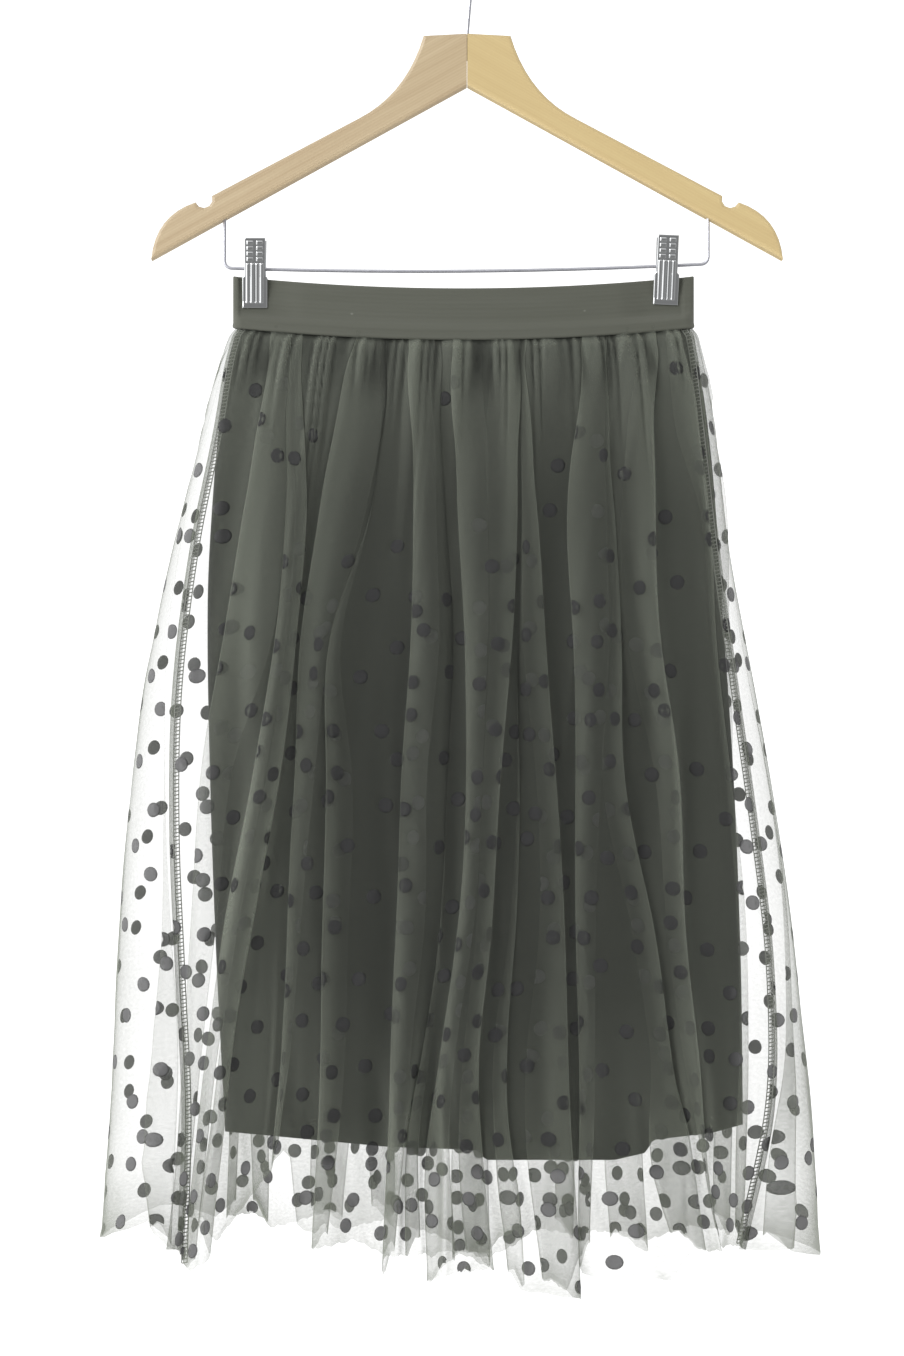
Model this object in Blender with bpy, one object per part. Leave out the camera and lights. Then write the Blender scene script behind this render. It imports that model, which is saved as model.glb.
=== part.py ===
"""A gathered net skirt over a plain lining, clipped flat to a wooden hanger.

Sizes are in millimetres, and one function turns them into metres. +Z is up, the front of the skirt
faces -Y and +X is to the right of someone who looks at it. The origin is the inside top of the hook,
where it hangs on a rail. A drop is a distance below the waistband's lower edge at the side.
"""

import math

import bmesh
import bpy
from mathutils import Matrix, Vector

MM = 0.001
GAP = 0.3

# Hook: a wire stem that leans a little, then a bend into a loop open on its left side.
HOOK_WIRE = 2.6
HOOK_INSIDE_RADIUS = 18.7
HOOK_STEM_TOP = (2.1, -47.3)
HOOK_STEM_IN_WOOD = 18.0
HOOK_ARC_FROM = -50.0
HOOK_ARC_TO = 205.0
HOOK_BEND_PULL = 16.0

# Hanger: two flat arms that meet in an upright joint under the hook.
WOOD_TOP = -72.0
WOOD_THICK = 12.0
WOOD_EDGE_ROUND = 2.2
ARM_SHOULDER_TOP = (30.6, -73.6)
ARM_NECK_PULL = (42.7, -114.4)
ARM_NECK_END = (76.0, -131.6)
NOTCH_CENTRE = (185.3, -188.6)
NOTCH_RADIUS = 6.1
NOTCH_FROM = 158.0
NOTCH_TO = 340.0
ARM_CROWN_PULL = (219.5, -200.0)
ARM_TIP = (222.3, -230.8)
ARM_APEX = -108.5

# Clip bar: a wire that drops from both arms and sags a little between its two bends.
BAR_WIRE = 2.4
BAR_LEFT = -171.0
BAR_RIGHT = 170.0
BAR_LEFT_Z = -236.3
BAR_RIGHT_Z = -233.4
BAR_SAG = 3.6
BAR_BEND = 5.0
BAR_IN_WOOD = 10.0

# Clips: two pressed jaws on the bar, closed at the bottom by a coil between them.
CLIP_AT = {"left": -149.7, "right": 141.2}
CLIP_LEAN = {"left": 0.0, "right": 2.5}
CLIP_TOP = 22.0
CLIP_BOTTOM = -27.4
CLIP_GRIP_HEIGHT = 4.8
CLIP_SPREAD_AT_TOP = 11.0
CLIP_SHEET = 1.2
CLIP_HALF_WIDTH = 7.4
CLIP_JAW_HALF_WIDTH = 8.8
CLIP_RELIEF = 0.6
CLIP_STEP_Z = (-6.2, -4.4)
FLUTE_CRESTS = (1.63, 4.88)
FLUTE_FEET = (0.45, 2.8, 3.7, 6.05)
FLUTE_ENDS = (-24.4, 4.2)
FLUTE_FADE = 0.8
PAD_ROWS = 4
PAD_START = 5.4
PAD_PITCH = 3.9
PAD_HEIGHT = 2.9
PAD_SLOPE = 0.5
PAD_REACH = (1.2, 5.6)
EAR_SHEET = 1.0
EAR_OUTER_AT = 6.0
EAR_INNER_AT = 4.7
EAR_HEIGHT = 9.0
COIL_RADIUS = 4.0
COIL_HALF_LENGTH = 3.8

# Waistband: one flat elastic strip, pressed together under both clips and open between them.
BAND_WALL = 1.6
BAND_TOP_Z = -242.1
SEAM_Z = -278.6
BAND_SAG = 8.4
BAND_TOP_DEPTH = 9.0
BAND_TOP_END = 3.0
BAND_PRESSED = 1.85
BAND_PRESS_MARGIN = 1.0
BAND_PRESS_RELEASE = 26.0
BAND_END_RELEASE = 2.2
BAND_OPENS_FROM = 0.62
BAND_OPENS_BY = 0.80
BAND_SPANS = 6

# Cloth walls, and how far both skirts run up behind the waistband.
NET_WALL = 1.0
LINING_WALL = 1.0
TUCK = 6.0
TUCK_OPENS_BY = 8.0
SAG_FADES_BY = 300.0
SEAM_CALM = 22
HEM_PULL = 3


def table(columns, rows):
    """Rows of numbers as dictionaries with the named columns."""
    names = columns.split()
    return [dict(zip(names, row)) for row in rows]


# Plan sizes of the net skirt at each drop: both edges as seen from the front, half the depth in the
# middle and near the ends, and how far in from each edge its side seam lies.
NET_PLAN = table(
    "drop left right depth end seam_left seam_right",
    [
        (0, -165.0, 160.0, 11.0, 6.5, 0.8, 0.8),
        (26, -174.0, 165.6, 17.0, 9.0, 3.0, 2.0),
        (72, -186.0, 175.0, 23.0, 13.0, 7.0, 5.5),
        (157, -208.0, 185.0, 30.0, 18.0, 12.0, 6.5),
        (255, -228.0, 203.0, 36.0, 23.0, 20.0, 11.0),
        (354, -240.0, 220.0, 41.0, 28.0, 30.0, 14.0),
        (453, -247.0, 233.0, 46.0, 32.0, 41.0, 16.0),
        (551, -251.5, 243.0, 50.0, 36.0, 53.0, 26.0),
        (650, -258.5, 250.5, 54.0, 39.0, 63.0, 54.0),
    ],
)

# Plan sizes of the lining, an almost straight tube that sits well inside the net.
LINING_PLAN = table(
    "drop left right depth end",
    [
        (0, -161.8, 156.8, 7.8, 3.3),
        (12, -165.5, 159.5, 9.0, 4.5),
        (26, -169.0, 162.6, 10.5, 6.0),
        (51, -172.8, 167.4, 12.0, 7.0),
        (107, -178.4, 173.7, 14.5, 9.0),
        (192, -182.9, 179.6, 17.5, 11.0),
        (319, -181.2, 188.1, 20.5, 13.0),
        (446, -176.8, 193.0, 23.0, 15.0),
        (566, -170.7, 194.6, 25.0, 16.0),
    ],
)

# Folds of the net: where each crest runs at five drops, its width there, and its final height.
FOLD_DROPS = (12.0, 164.0, 319.0, 474.0, 650.0)
FOLD_COLUMNS = "at_1 at_2 at_3 at_4 at_5 width_1 width_2 width_3 width_4 width_5 height"
FRONT_FOLDS = table(
    FOLD_COLUMNS,
    [
        (-157, -186, -210, -222, -229, 8, 14, 18, 22, 28, 10),
        (-131, -138, -142, -169, -188, 16, 48, 24, 24, 35, 13),
        (-70, -91, -102, -103, -105, 20, 37, 25, 28, 31, 9),
        (-36, -28, -26, -40, -44, 14, 20, 24, 23, 35, 10),
        (13, 14, 12, -1, -19, 44, 38, 25, 23, 39, 14),
        (39, 42, 55, 63, 66, 8, 14, 16, 16, 28, 8),
        (88, 89, 94, 106, 122, 17, 35, 34, 59, 70, 13),
        (122, 128, 142, 154, 175, 13, 12, 12, 14, 28, 8),
        (147, 172, 197, 214, 226, 10, 16, 17, 18, 28, 9),
    ],
)
BACK_FOLDS = table(
    FOLD_COLUMNS,
    [
        (-146, -164, -180, -196, -214, 14, 24, 26, 28, 34, 11),
        (-112, -118, -128, -138, -152, 18, 34, 30, 34, 40, 13),
        (-72, -70, -76, -90, -98, 16, 22, 24, 24, 30, 9),
        (-30, -34, -40, -44, -40, 22, 40, 34, 30, 44, 14),
        (8, 6, 4, 8, 14, 12, 18, 20, 24, 30, 9),
        (44, 50, 54, 52, 60, 24, 36, 30, 34, 42, 13),
        (84, 90, 102, 110, 116, 14, 18, 20, 22, 30, 8),
        (118, 128, 142, 158, 168, 20, 32, 30, 34, 40, 12),
        (148, 166, 188, 204, 218, 12, 18, 20, 22, 30, 9),
    ],
)

# A fold's reach to each side is a share of its width and a little more, and it grows with the drop.
FOLD_REACH_SHARE = 0.62
FOLD_REACH_MORE = 5.0
FOLD_STARTS_ABOVE = 10.0
FOLD_GROWS_OVER = 260.0

# Hem drops along the width: the net's raw cut edge is ragged, the lining's edge has two steps.
NET_FRONT_HEM = table(
    "x drop",
    [(-259, 645), (-224, 626), (-200, 672), (-178, 647), (-139, 643), (-97, 644), (-58, 669),
     (-26, 663), (23, 675), (46, 679), (74, 681), (94, 664), (134, 670), (164, 656), (196, 645),
     (250, 654)],
)
NET_BACK_HEM = table(
    "x drop",
    [(-259, 645), (-205, 650), (-150, 641), (-95, 655), (-40, 662), (20, 655), (80, 661),
     (140, 648), (195, 655), (250, 654)],
)
LINING_FRONT_HEM = table(
    "x drop",
    [(-171, 566), (-118, 571), (-54, 577), (3, 579), (18, 586), (60, 586), (104, 586), (122, 580),
     (136, 571), (173, 567), (195, 561)],
)
LINING_BACK_HEM = table("x drop", [(-171, 566), (-60, 574), (20, 577), (100, 572), (195, 561)])

NET_ROWS = (-TUCK, 0.4, TUCK_OPENS_BY, 26.0, 75.0, 150.0, 240.0, 340.0, 450.0, 555.0, 650.0)
NET_HEM = 650.0
NET_GATHERS = {"front": 36, "back": 32}
COLUMNS_PER_GATHER = 3
GATHER_LIFT = 1.5
GATHER_STARTS_BY = 6.0
GATHER_FADES_BY = 70.0
GATHER_EVENNESS = 0.75
GATHER_BEATS = (17.0, 41.0)
LINING_ROWS = (-TUCK, 0.4, 12.0, 60.0, 190.0, 380.0, 570.0)
LINING_HEM = 570.0
LINING_COLUMNS = {"front": 34, "back": 28}
LINING_WAVE = 2.0
LINING_WAVE_GROWS_OVER = 500.0
LINING_WAVE_LENGTH = 140.0
LINING_WAVE_START = {"front": 22.0, "back": 67.0}


def smooth(value):
    """Soft step from 0 to 1."""
    value = min(1.0, max(0.0, value))
    return value * value * (3 - 2 * value)


def along(rows, key, column, at):
    """A column's value at a key between rows, on a smooth curve through them."""
    at = min(max(at, rows[0][key]), rows[-1][key])
    i = 0
    while i < len(rows) - 2 and at > rows[i + 1][key]:
        i += 1
    here = rows[i]
    there = rows[i + 1]
    before = rows[max(i - 1, 0)]
    after = rows[min(i + 2, len(rows) - 1)]
    span = there[key] - here[key]
    t = (at - here[key]) / span
    slope_here = (there[column] - before[column]) / (there[key] - before[key]) * span
    slope_there = (after[column] - here[column]) / (after[key] - here[key]) * span
    rise = there[column] - here[column]
    curve = 3 * rise - 2 * slope_here - slope_there
    return here[column] + t * (slope_here + t * (curve + t * (slope_here + slope_there - 2 * rise)))


def principled(name, colour, roughness, metallic=0.0):
    """A plain material with the piece's colour, roughness and metallic value."""
    material = bpy.data.materials.new(name)
    material.use_nodes = True
    shader = material.node_tree.nodes["Principled BSDF"]
    shader.inputs["Base Color"].default_value = (*colour, 1.0)
    shader.inputs["Roughness"].default_value = roughness
    shader.inputs["Metallic"].default_value = metallic
    return material


def solid(name, points, faces, material):
    """An object from points in millimetres, with its faces turned outward."""
    mesh = bpy.data.meshes.new(name)
    mesh.from_pydata([tuple(c * MM for c in p) for p in points], [], faces)
    work = bmesh.new()
    work.from_mesh(mesh)
    bmesh.ops.recalc_face_normals(work, faces=work.faces)
    work.to_mesh(mesh)
    work.free()
    mesh.shade_smooth()
    mesh.set_sharp_from_angle(angle=math.radians(40))
    mesh.materials.append(material)
    thing = bpy.data.objects.new(name, mesh)
    bpy.context.scene.collection.objects.link(thing)
    return thing


def wire(name, points, diameter, material):
    """A round wire with closed ends along points in the hanger's own plane."""
    curve = bpy.data.curves.new(name, "CURVE")
    curve.dimensions = "3D"
    curve.bevel_depth = diameter / 2 * MM
    curve.bevel_resolution = 2
    curve.use_fill_caps = True
    spline = curve.splines.new("POLY")
    spline.points.add(len(points) - 1)
    for slot, (x, z) in zip(spline.points, points):
        slot.co = (x * MM, 0.0, z * MM, 1.0)
    curve.materials.append(material)
    thing = bpy.data.objects.new(name, curve)
    bpy.context.scene.collection.objects.link(thing)
    return thing


def guide(thing):
    """Hides a piece that only cuts or adds to another."""
    thing.hide_render = True
    thing.display_type = "WIRE"
    return thing


def combine(target, tool, operation):
    """A Boolean modifier on the target."""
    modifier = target.modifiers.new(tool.name, "BOOLEAN")
    modifier.operation = operation
    modifier.solver = "EXACT"
    modifier.object = guide(tool)


def round_rod(name, radius, low, high, sides=16):
    """A closed upright cylinder between two heights, round the origin."""
    points = []
    for z in (low, high):
        for i in range(sides):
            turn = 2 * math.pi * i / sides
            points.append((radius * math.cos(turn), radius * math.sin(turn), z))
    faces = [tuple(range(sides)), tuple(range(sides, 2 * sides))]
    for i in range(sides):
        j = (i + 1) % sides
        faces.append((i, j, sides + j, sides + i))
    return solid(name, points, faces, None)


def bend(start, pull, end, steps):
    """Points along a curve that leaves start and reaches end, drawn towards pull."""
    points = []
    for i in range(steps + 1):
        t = i / steps
        a = (1 - t) ** 2
        b = 2 * t * (1 - t)
        c = t * t
        points.append(tuple(a * s + b * p + c * e for s, p, e in zip(start, pull, end)))
    return points


def arm_outline():
    """The right arm's outline in X and Z, from the joint's top round to its underside."""
    seam = GAP / 2
    points = [(seam, WOOD_TOP)]
    points += bend(ARM_SHOULDER_TOP, ARM_NECK_PULL, ARM_NECK_END, 9)
    notch_x, notch_z = NOTCH_CENTRE
    for i in range(6):
        turn = math.radians(NOTCH_FROM + (NOTCH_TO - NOTCH_FROM) * i / 5)
        points.append((notch_x + NOTCH_RADIUS * math.cos(turn), notch_z + NOTCH_RADIUS * math.sin(turn)))
    points += bend(points[-1], ARM_CROWN_PULL, ARM_TIP, 8)[1:]
    points.append((seam, ARM_APEX))
    return points


def underside(x):
    """Height of the arms' straight underside at a distance from the middle."""
    return ARM_APEX + (ARM_TIP[1] - ARM_APEX) * abs(x) / ARM_TIP[0]


def hanger_arm(side, material):
    """One flat wooden arm with rounded edges, a strap notch, and holes for the two wires."""
    sign = 1 if side == "right" else -1
    outline = [(sign * x, z) for x, z in arm_outline()]
    count = len(outline)
    points = [(x, y, z) for y in (-WOOD_THICK / 2, WOOD_THICK / 2) for x, z in outline]
    faces = [tuple(range(count)), tuple(range(count, 2 * count))]
    for i in range(count):
        j = (i + 1) % count
        faces.append((i, j, count + j, count + i))
    arm = solid("hanger_arm_" + side, points, faces, material)
    work = bmesh.new()
    work.from_mesh(arm.data)
    joint_x = GAP * MM
    rims = []
    for edge in work.edges:
        a, b = (vertex.co for vertex in edge.verts)
        if abs(a.y - b.y) < MM and max(abs(a.x), abs(b.x)) > joint_x:
            rims.append(edge)
    bmesh.ops.bevel(work, geom=rims, offset=WOOD_EDGE_ROUND * MM, segments=2, profile=0.5,
                    affect="EDGES", clamp_overlap=False)
    bmesh.ops.recalc_face_normals(work, faces=work.faces)
    work.to_mesh(arm.data)
    work.free()
    hook_hole = round_rod("hook_hole_" + side, HOOK_WIRE / 2 + GAP,
                          WOOD_TOP - HOOK_STEM_IN_WOOD - GAP, WOOD_TOP + HOOK_STEM_IN_WOOD)
    combine(arm, hook_hole, "DIFFERENCE")
    bar_x = BAR_RIGHT if side == "right" else BAR_LEFT
    top = underside(bar_x) + BAR_IN_WOOD + GAP
    bar_hole = round_rod("bar_hole_" + side, BAR_WIRE / 2 + GAP, top - 3 * BAR_IN_WOOD, top)
    bar_hole.location.x = bar_x * MM
    combine(arm, bar_hole, "DIFFERENCE")
    return arm


def hook(material):
    """The hook: a stem in the wood, a lean, a bend and a loop round the origin's rail."""
    radius = HOOK_INSIDE_RADIUS + HOOK_WIRE / 2
    centre_z = -HOOK_INSIDE_RADIUS
    points = [(0.0, WOOD_TOP - HOOK_STEM_IN_WOOD), (0.0, WOOD_TOP + 1.0)]
    start = Vector(HOOK_STEM_TOP)
    first = math.radians(HOOK_ARC_FROM)
    end = Vector((radius * math.cos(first), centre_z + radius * math.sin(first)))
    leaving = Vector((HOOK_STEM_TOP[0], HOOK_STEM_TOP[1] - WOOD_TOP)).normalized() * HOOK_BEND_PULL
    arriving = Vector((-math.sin(first), math.cos(first))) * HOOK_BEND_PULL
    for i in range(8):
        t = i / 8
        point = start * (2 * t**3 - 3 * t**2 + 1) + leaving * (t**3 - 2 * t**2 + t)
        point += end * (3 * t**2 - 2 * t**3) + arriving * (t**3 - t**2)
        points.append(tuple(point))
    steps = 18
    for i in range(steps + 1):
        turn = math.radians(HOOK_ARC_FROM + (HOOK_ARC_TO - HOOK_ARC_FROM) * i / steps)
        points.append((radius * math.cos(turn), centre_z + radius * math.sin(turn)))
    return wire("hook", points, HOOK_WIRE, material)


def bar_height(x):
    """Height of the clip bar's middle line between its bends."""
    share = (x - BAR_LEFT) / (BAR_RIGHT - BAR_LEFT)
    level = BAR_LEFT_Z + (BAR_RIGHT_Z - BAR_LEFT_Z) * share
    return level - BAR_SAG * 4 * share * (1 - share)


def bar_slope(x):
    """Angle of the clip bar from level."""
    return math.atan(bar_height(x + 0.5) - bar_height(x - 0.5))


def clip_bar(material):
    """The clip bar, from one arm's hole down, across and up into the other's."""
    points = [(BAR_LEFT, underside(BAR_LEFT) + BAR_IN_WOOD)]
    for degrees in (180, 202, 225, 247, 270):
        turn = math.radians(degrees)
        x = BAR_LEFT + BAR_BEND * (1 + math.cos(turn))
        points.append((x, bar_height(BAR_LEFT + BAR_BEND) + BAR_BEND * (1 + math.sin(turn))))
    spans = 14
    left = BAR_LEFT + BAR_BEND
    right = BAR_RIGHT - BAR_BEND
    for i in range(1, spans):
        x = left + (right - left) * i / spans
        points.append((x, bar_height(x)))
    for degrees in (270, 293, 315, 338, 360):
        turn = math.radians(degrees)
        x = BAR_RIGHT - BAR_BEND * (1 - math.cos(turn))
        points.append((x, bar_height(right) + BAR_BEND * (1 + math.sin(turn))))
    points.append((BAR_RIGHT, underside(BAR_RIGHT) + BAR_IN_WOOD))
    return wire("clip_bar", points, BAR_WIRE, material)


def jaw_inside(z):
    """How far a jaw's inner face stands from the middle plane at a height above the bar."""
    pressed = BAND_PRESSED + GAP
    grip_top = CLIP_BOTTOM + CLIP_GRIP_HEIGHT
    if z <= grip_top:
        return pressed
    return pressed + (CLIP_SPREAD_AT_TOP - pressed) * (z - grip_top) / (CLIP_TOP - grip_top)


def jaw_columns():
    """Places across a jaw: its edges, and the feet and crest of each of four flutes."""
    half = sorted(FLUTE_FEET + FLUTE_CRESTS)
    return [-x for x in reversed(half)] + half


def jaw_rows():
    """Heights along a jaw: its ends, its step in width, the flutes and four rows of pads."""
    low, high = FLUTE_ENDS
    rows = [CLIP_BOTTOM, CLIP_BOTTOM + CLIP_GRIP_HEIGHT, low, low + FLUTE_FADE]
    rows += [CLIP_STEP_Z[0], CLIP_STEP_Z[1], high - FLUTE_FADE, high]
    for i in range(PAD_ROWS):
        base = PAD_START + PAD_PITCH * i
        rows += [base, base + PAD_SLOPE, base + PAD_HEIGHT - PAD_SLOPE, base + PAD_HEIGHT]
    return sorted(rows) + [CLIP_TOP]


def jaw_relief(x, z):
    """Height of the pressed flutes and pads over the plain sheet."""
    low, high = FLUTE_ENDS
    if z <= high:
        fade = min(smooth((z - low) / FLUTE_FADE), smooth((high - z) / FLUTE_FADE))
        crest = abs(x) in FLUTE_CRESTS
        return CLIP_RELIEF * fade * crest
    step = (z - PAD_START) % PAD_PITCH
    top = PAD_START + PAD_ROWS * PAD_PITCH
    inside = PAD_SLOPE / 2 < step < PAD_HEIGHT - PAD_SLOPE / 2 and z < top
    across = PAD_REACH[0] < abs(x) < PAD_REACH[1]
    return CLIP_RELIEF * inside * across


def clip_jaw(side, face, material):
    """One pressed jaw: a leaning sheet with raised flutes and pads, and two ears by the bar."""
    toward = -1 if face == "front" else 1
    rows = jaw_rows()
    inner = jaw_columns()
    points = []
    for z in rows:
        wide = z <= CLIP_STEP_Z[0]
        half = CLIP_JAW_HALF_WIDTH if wide else CLIP_HALF_WIDTH
        for x in [-half] + inner + [half]:
            relief = jaw_relief(x, z) if abs(x) < half else 0.0
            points.append((x, toward * (jaw_inside(z) + CLIP_SHEET + relief), z))
        for x in (half, -half):
            points.append((x, toward * jaw_inside(z), z))
    wide = len(inner) + 4
    faces = [tuple(range(wide)), tuple(range((len(rows) - 1) * wide, len(rows) * wide))]
    for j in range(len(rows) - 1):
        for i in range(wide):
            k = (i + 1) % wide
            faces.append((j * wide + i, j * wide + k, (j + 1) * wide + k, (j + 1) * wide + i))
    name = "clip_" + side + "_" + face
    jaw = solid(name, points, faces, material)
    at = EAR_OUTER_AT if face == "front" else EAR_INNER_AT
    for sign in (-1, 1):
        ear = clip_ear(name + "_ear" + ("_a" if sign < 0 else "_b"), at, toward, sign)
        ear.parent = jaw
        combine(jaw, ear, "UNION")
    return jaw


def clip_ear(name, at, toward, sign):
    """A folded lug that reaches from a jaw to the bar."""
    reach = BAR_WIRE / 2 + GAP
    top = EAR_HEIGHT / 2
    bury = CLIP_SHEET / 2
    profile = [(jaw_inside(-top) + bury, -top), (jaw_inside(top) + bury, top)]
    profile += [(reach, top / 2), (reach, -top / 2)]
    points = []
    for x in (at, at + EAR_SHEET):
        points += [(sign * x, toward * y, z) for y, z in profile]
    faces = [(0, 1, 2, 3), (4, 5, 6, 7), (0, 1, 5, 4), (1, 2, 6, 5), (2, 3, 7, 6), (3, 0, 4, 7)]
    return solid(name, points, faces, None)


def clip_coil(side, material):
    """The coil that closes a clip, as the plain sleeve that its turns fill."""
    sides = 16
    bore = BAR_WIRE / 2 + GAP
    points = []
    for x in (-COIL_HALF_LENGTH, COIL_HALF_LENGTH):
        for radius in (bore, COIL_RADIUS):
            for i in range(sides):
                turn = 2 * math.pi * i / sides
                points.append((x, radius * math.cos(turn), radius * math.sin(turn)))
    faces = []
    for i in range(sides):
        j = (i + 1) % sides
        for a, b in ((0, 1), (1, 3), (3, 2), (2, 0)):
            faces.append((a * sides + i, a * sides + j, b * sides + j, b * sides + i))
    return solid("clip_" + side + "_coil", points, faces, material)


def clip(side, chrome, steel):
    """A clip on the bar: front jaw, back jaw and coil."""
    x = CLIP_AT[side]
    place = Matrix.Translation(Vector((x, 0.0, bar_height(x))) * MM)
    lean = Matrix.Rotation(math.radians(CLIP_LEAN[side]), 4, "Y")
    for face in ("front", "back"):
        clip_jaw(side, face, chrome).matrix_world = place @ lean
    level = Matrix.Rotation(-bar_slope(x), 4, "Y")
    clip_coil(side, steel).matrix_world = place @ level


def seam_height(x, top=False):
    """Height of the waistband's lower or upper edge, which both sag between the clips."""
    left = NET_PLAN[0]["left"]
    right = NET_PLAN[0]["right"]
    across = min(1.0, abs(2 * x - left - right) / (right - left))
    return (BAND_TOP_Z if top else SEAM_Z) - BAND_SAG * (1 - across * across)


def pressed_share(x, share):
    """How fully the clips press the band together at a place and a share of its height."""
    release = 1 - smooth((share - BAND_OPENS_FROM) / (BAND_OPENS_BY - BAND_OPENS_FROM))
    grip = 0.0
    for side, middle in CLIP_AT.items():
        outward = (x - middle) * (1 if side == "right" else -1)
        reach = CLIP_JAW_HALF_WIDTH + BAND_PRESS_MARGIN
        if outward > reach:
            grip = max(grip, 1 - smooth((outward - reach) / BAND_END_RELEASE))
        else:
            grip = max(grip, 1 - smooth((-outward - reach) / BAND_PRESS_RELEASE))
    return grip * release


def band_stations(left, right, end):
    """Places across the band: round ends, both clips' edges and an even run between them."""
    caps = [end * (1 - math.cos(math.radians(a))) for a in (0, 30, 60, 90)]
    reach = CLIP_JAW_HALF_WIDTH + BAND_PRESS_MARGIN
    left_out = max(CLIP_AT["left"] - reach, left + end + 1.0)
    left_in = CLIP_AT["left"] + reach
    right_in = CLIP_AT["right"] - reach
    right_out = CLIP_AT["right"] + reach
    stations = [left + c for c in caps]
    stations.append(left_out)
    release = [BAND_PRESS_RELEASE * i / 3 for i in range(4)]
    stations += [left_in + r for r in release]
    low = left_in + BAND_PRESS_RELEASE
    high = right_in - BAND_PRESS_RELEASE
    stations += [low + (high - low) * i / BAND_SPANS for i in range(1, BAND_SPANS)]
    stations += [right_in - r for r in reversed(release)]
    stations.append(right_out)
    stations += [right - c for c in reversed(caps)]
    return stations


def band_ring(share):
    """One closed row of the band's outer face, at a share of the way down it."""
    opened = smooth((share - BAND_OPENS_FROM) / (BAND_OPENS_BY - BAND_OPENS_FROM))
    plan = NET_PLAN[0]
    end = BAND_TOP_END + (plan["end"] - BAND_TOP_END) * opened
    depth = BAND_TOP_DEPTH + (plan["depth"] - BAND_TOP_DEPTH) * opened
    left = plan["left"]
    right = plan["right"]
    half = (right - left) / 2
    front = []
    for x in band_stations(left, right, end):
        across = (2 * x - left - right) / (right - left)
        y = end + (depth - end) * (1 - across * across)
        to_end = half - abs(x - (left + right) / 2)
        if to_end < end:
            y *= math.sqrt(max(0.0, 1 - (1 - to_end / end) ** 2))
        grip = pressed_share(x, share)
        y += (min(y, BAND_PRESSED) - y) * grip
        top = seam_height(x, top=True)
        z = top + (seam_height(x) - top) * share
        front.append((x, -y, z))
    back = [(x, -y, z) for x, y, z in reversed(front[1:-1])]
    return front + back


def inner_row(row, wall):
    """The closed row one wall thickness further in, along each point's own inward direction."""
    inner = []
    for i, (x, y, z) in enumerate(row):
        before = row[i - 1]
        after = row[(i + 1) % len(row)]
        run = Vector((after[0] - before[0], after[1] - before[1])).normalized()
        inner.append((x - run.y * wall, y + run.x * wall, z))
    return inner


def tube_solid(name, rows, wall, material):
    """A closed band of cloth from closed rows of its outer face."""
    count = len(rows[0])
    outer = [p for row in rows for p in row]
    inner = [p for row in rows for p in inner_row(row, wall)]
    shift = len(outer)
    faces = []
    for j in range(len(rows) - 1):
        for i in range(count):
            k = (i + 1) % count
            a, b, c, d = j * count + i, j * count + k, (j + 1) * count + k, (j + 1) * count + i
            faces.append((a, b, c, d))
            faces.append((shift + a, shift + d, shift + c, shift + b))
    last = (len(rows) - 1) * count
    for i in range(count):
        k = (i + 1) % count
        faces.append((i, shift + i, shift + k, k))
        faces.append((last + i, last + k, shift + last + k, shift + last + i))
    return solid(name, outer + inner, faces, material)


def sheet_solid(name, outer_rows, inner_rows, material):
    """A closed panel of cloth between its outer rows and its inner rows."""
    count = len(outer_rows[0])
    points = [p for row in outer_rows for p in row] + [p for row in inner_rows for p in row]
    shift = count * len(outer_rows)
    faces = []
    for j in range(len(outer_rows) - 1):
        for i in range(count - 1):
            a, b, c, d = j * count + i, j * count + i + 1, (j + 1) * count + i + 1, (j + 1) * count + i
            faces.append((a, b, c, d))
            faces.append((shift + a, shift + d, shift + c, shift + b))
        for i in (0, count - 1):
            a, d = j * count + i, (j + 1) * count + i
            faces.append((a, d, shift + d, shift + a))
    for j in (0, len(outer_rows) - 1):
        for i in range(count - 1):
            a, b = j * count + i, j * count + i + 1
            faces.append((a, b, shift + b, shift + a))
    return solid(name, points, faces, material)


class PlanCurve:
    """A flattened closed curve with round ends, followed by its length from its left end."""

    def __init__(self, left, right, depth, end, samples=140):
        self.left = left
        self.right = right
        middle = (left + right) / 2
        half = (right - left) / 2
        self.points = []
        for i in range(samples + 1):
            x = middle - half * math.cos(math.pi * i / samples)
            across = (x - middle) / half
            y = end + (depth - end) * (1 - across * across)
            to_end = half - abs(x - middle)
            if to_end < end:
                y *= math.sqrt(max(0.0, 1 - (1 - to_end / end) ** 2))
            self.points.append(Vector((x, y)))
        self.lengths = [0.0]
        for a, b in zip(self.points, self.points[1:]):
            self.lengths.append(self.lengths[-1] + (b - a).length)
        self.half_round = self.lengths[-1]

    def length_to(self, x):
        """Length along the front from the left end to a place across the curve."""
        for i in range(1, len(self.points)):
            if self.points[i].x >= x:
                share = (x - self.points[i - 1].x) / (self.points[i].x - self.points[i - 1].x)
                return self.lengths[i - 1] + share * (self.lengths[i] - self.lengths[i - 1])
        return self.half_round

    def at(self, length):
        """The point at a length round the curve, along the front first and then the back."""
        length %= 2 * self.half_round
        front = length <= self.half_round
        rest = length if front else 2 * self.half_round - length
        low = 0
        high = len(self.lengths) - 1
        while high - low > 1:
            middle = (low + high) // 2
            if self.lengths[middle] <= rest:
                low = middle
            else:
                high = middle
        share = (rest - self.lengths[low]) / (self.lengths[high] - self.lengths[low])
        point = self.points[low].lerp(self.points[high], share)
        return Vector((point.x, -point.y if front else point.y))

    def outward(self, length):
        """The outward direction at a length round the curve."""
        step = 0.4
        run = (self.at(length + step) - self.at(length - step)).normalized()
        return Vector((run.y, -run.x))


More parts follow.
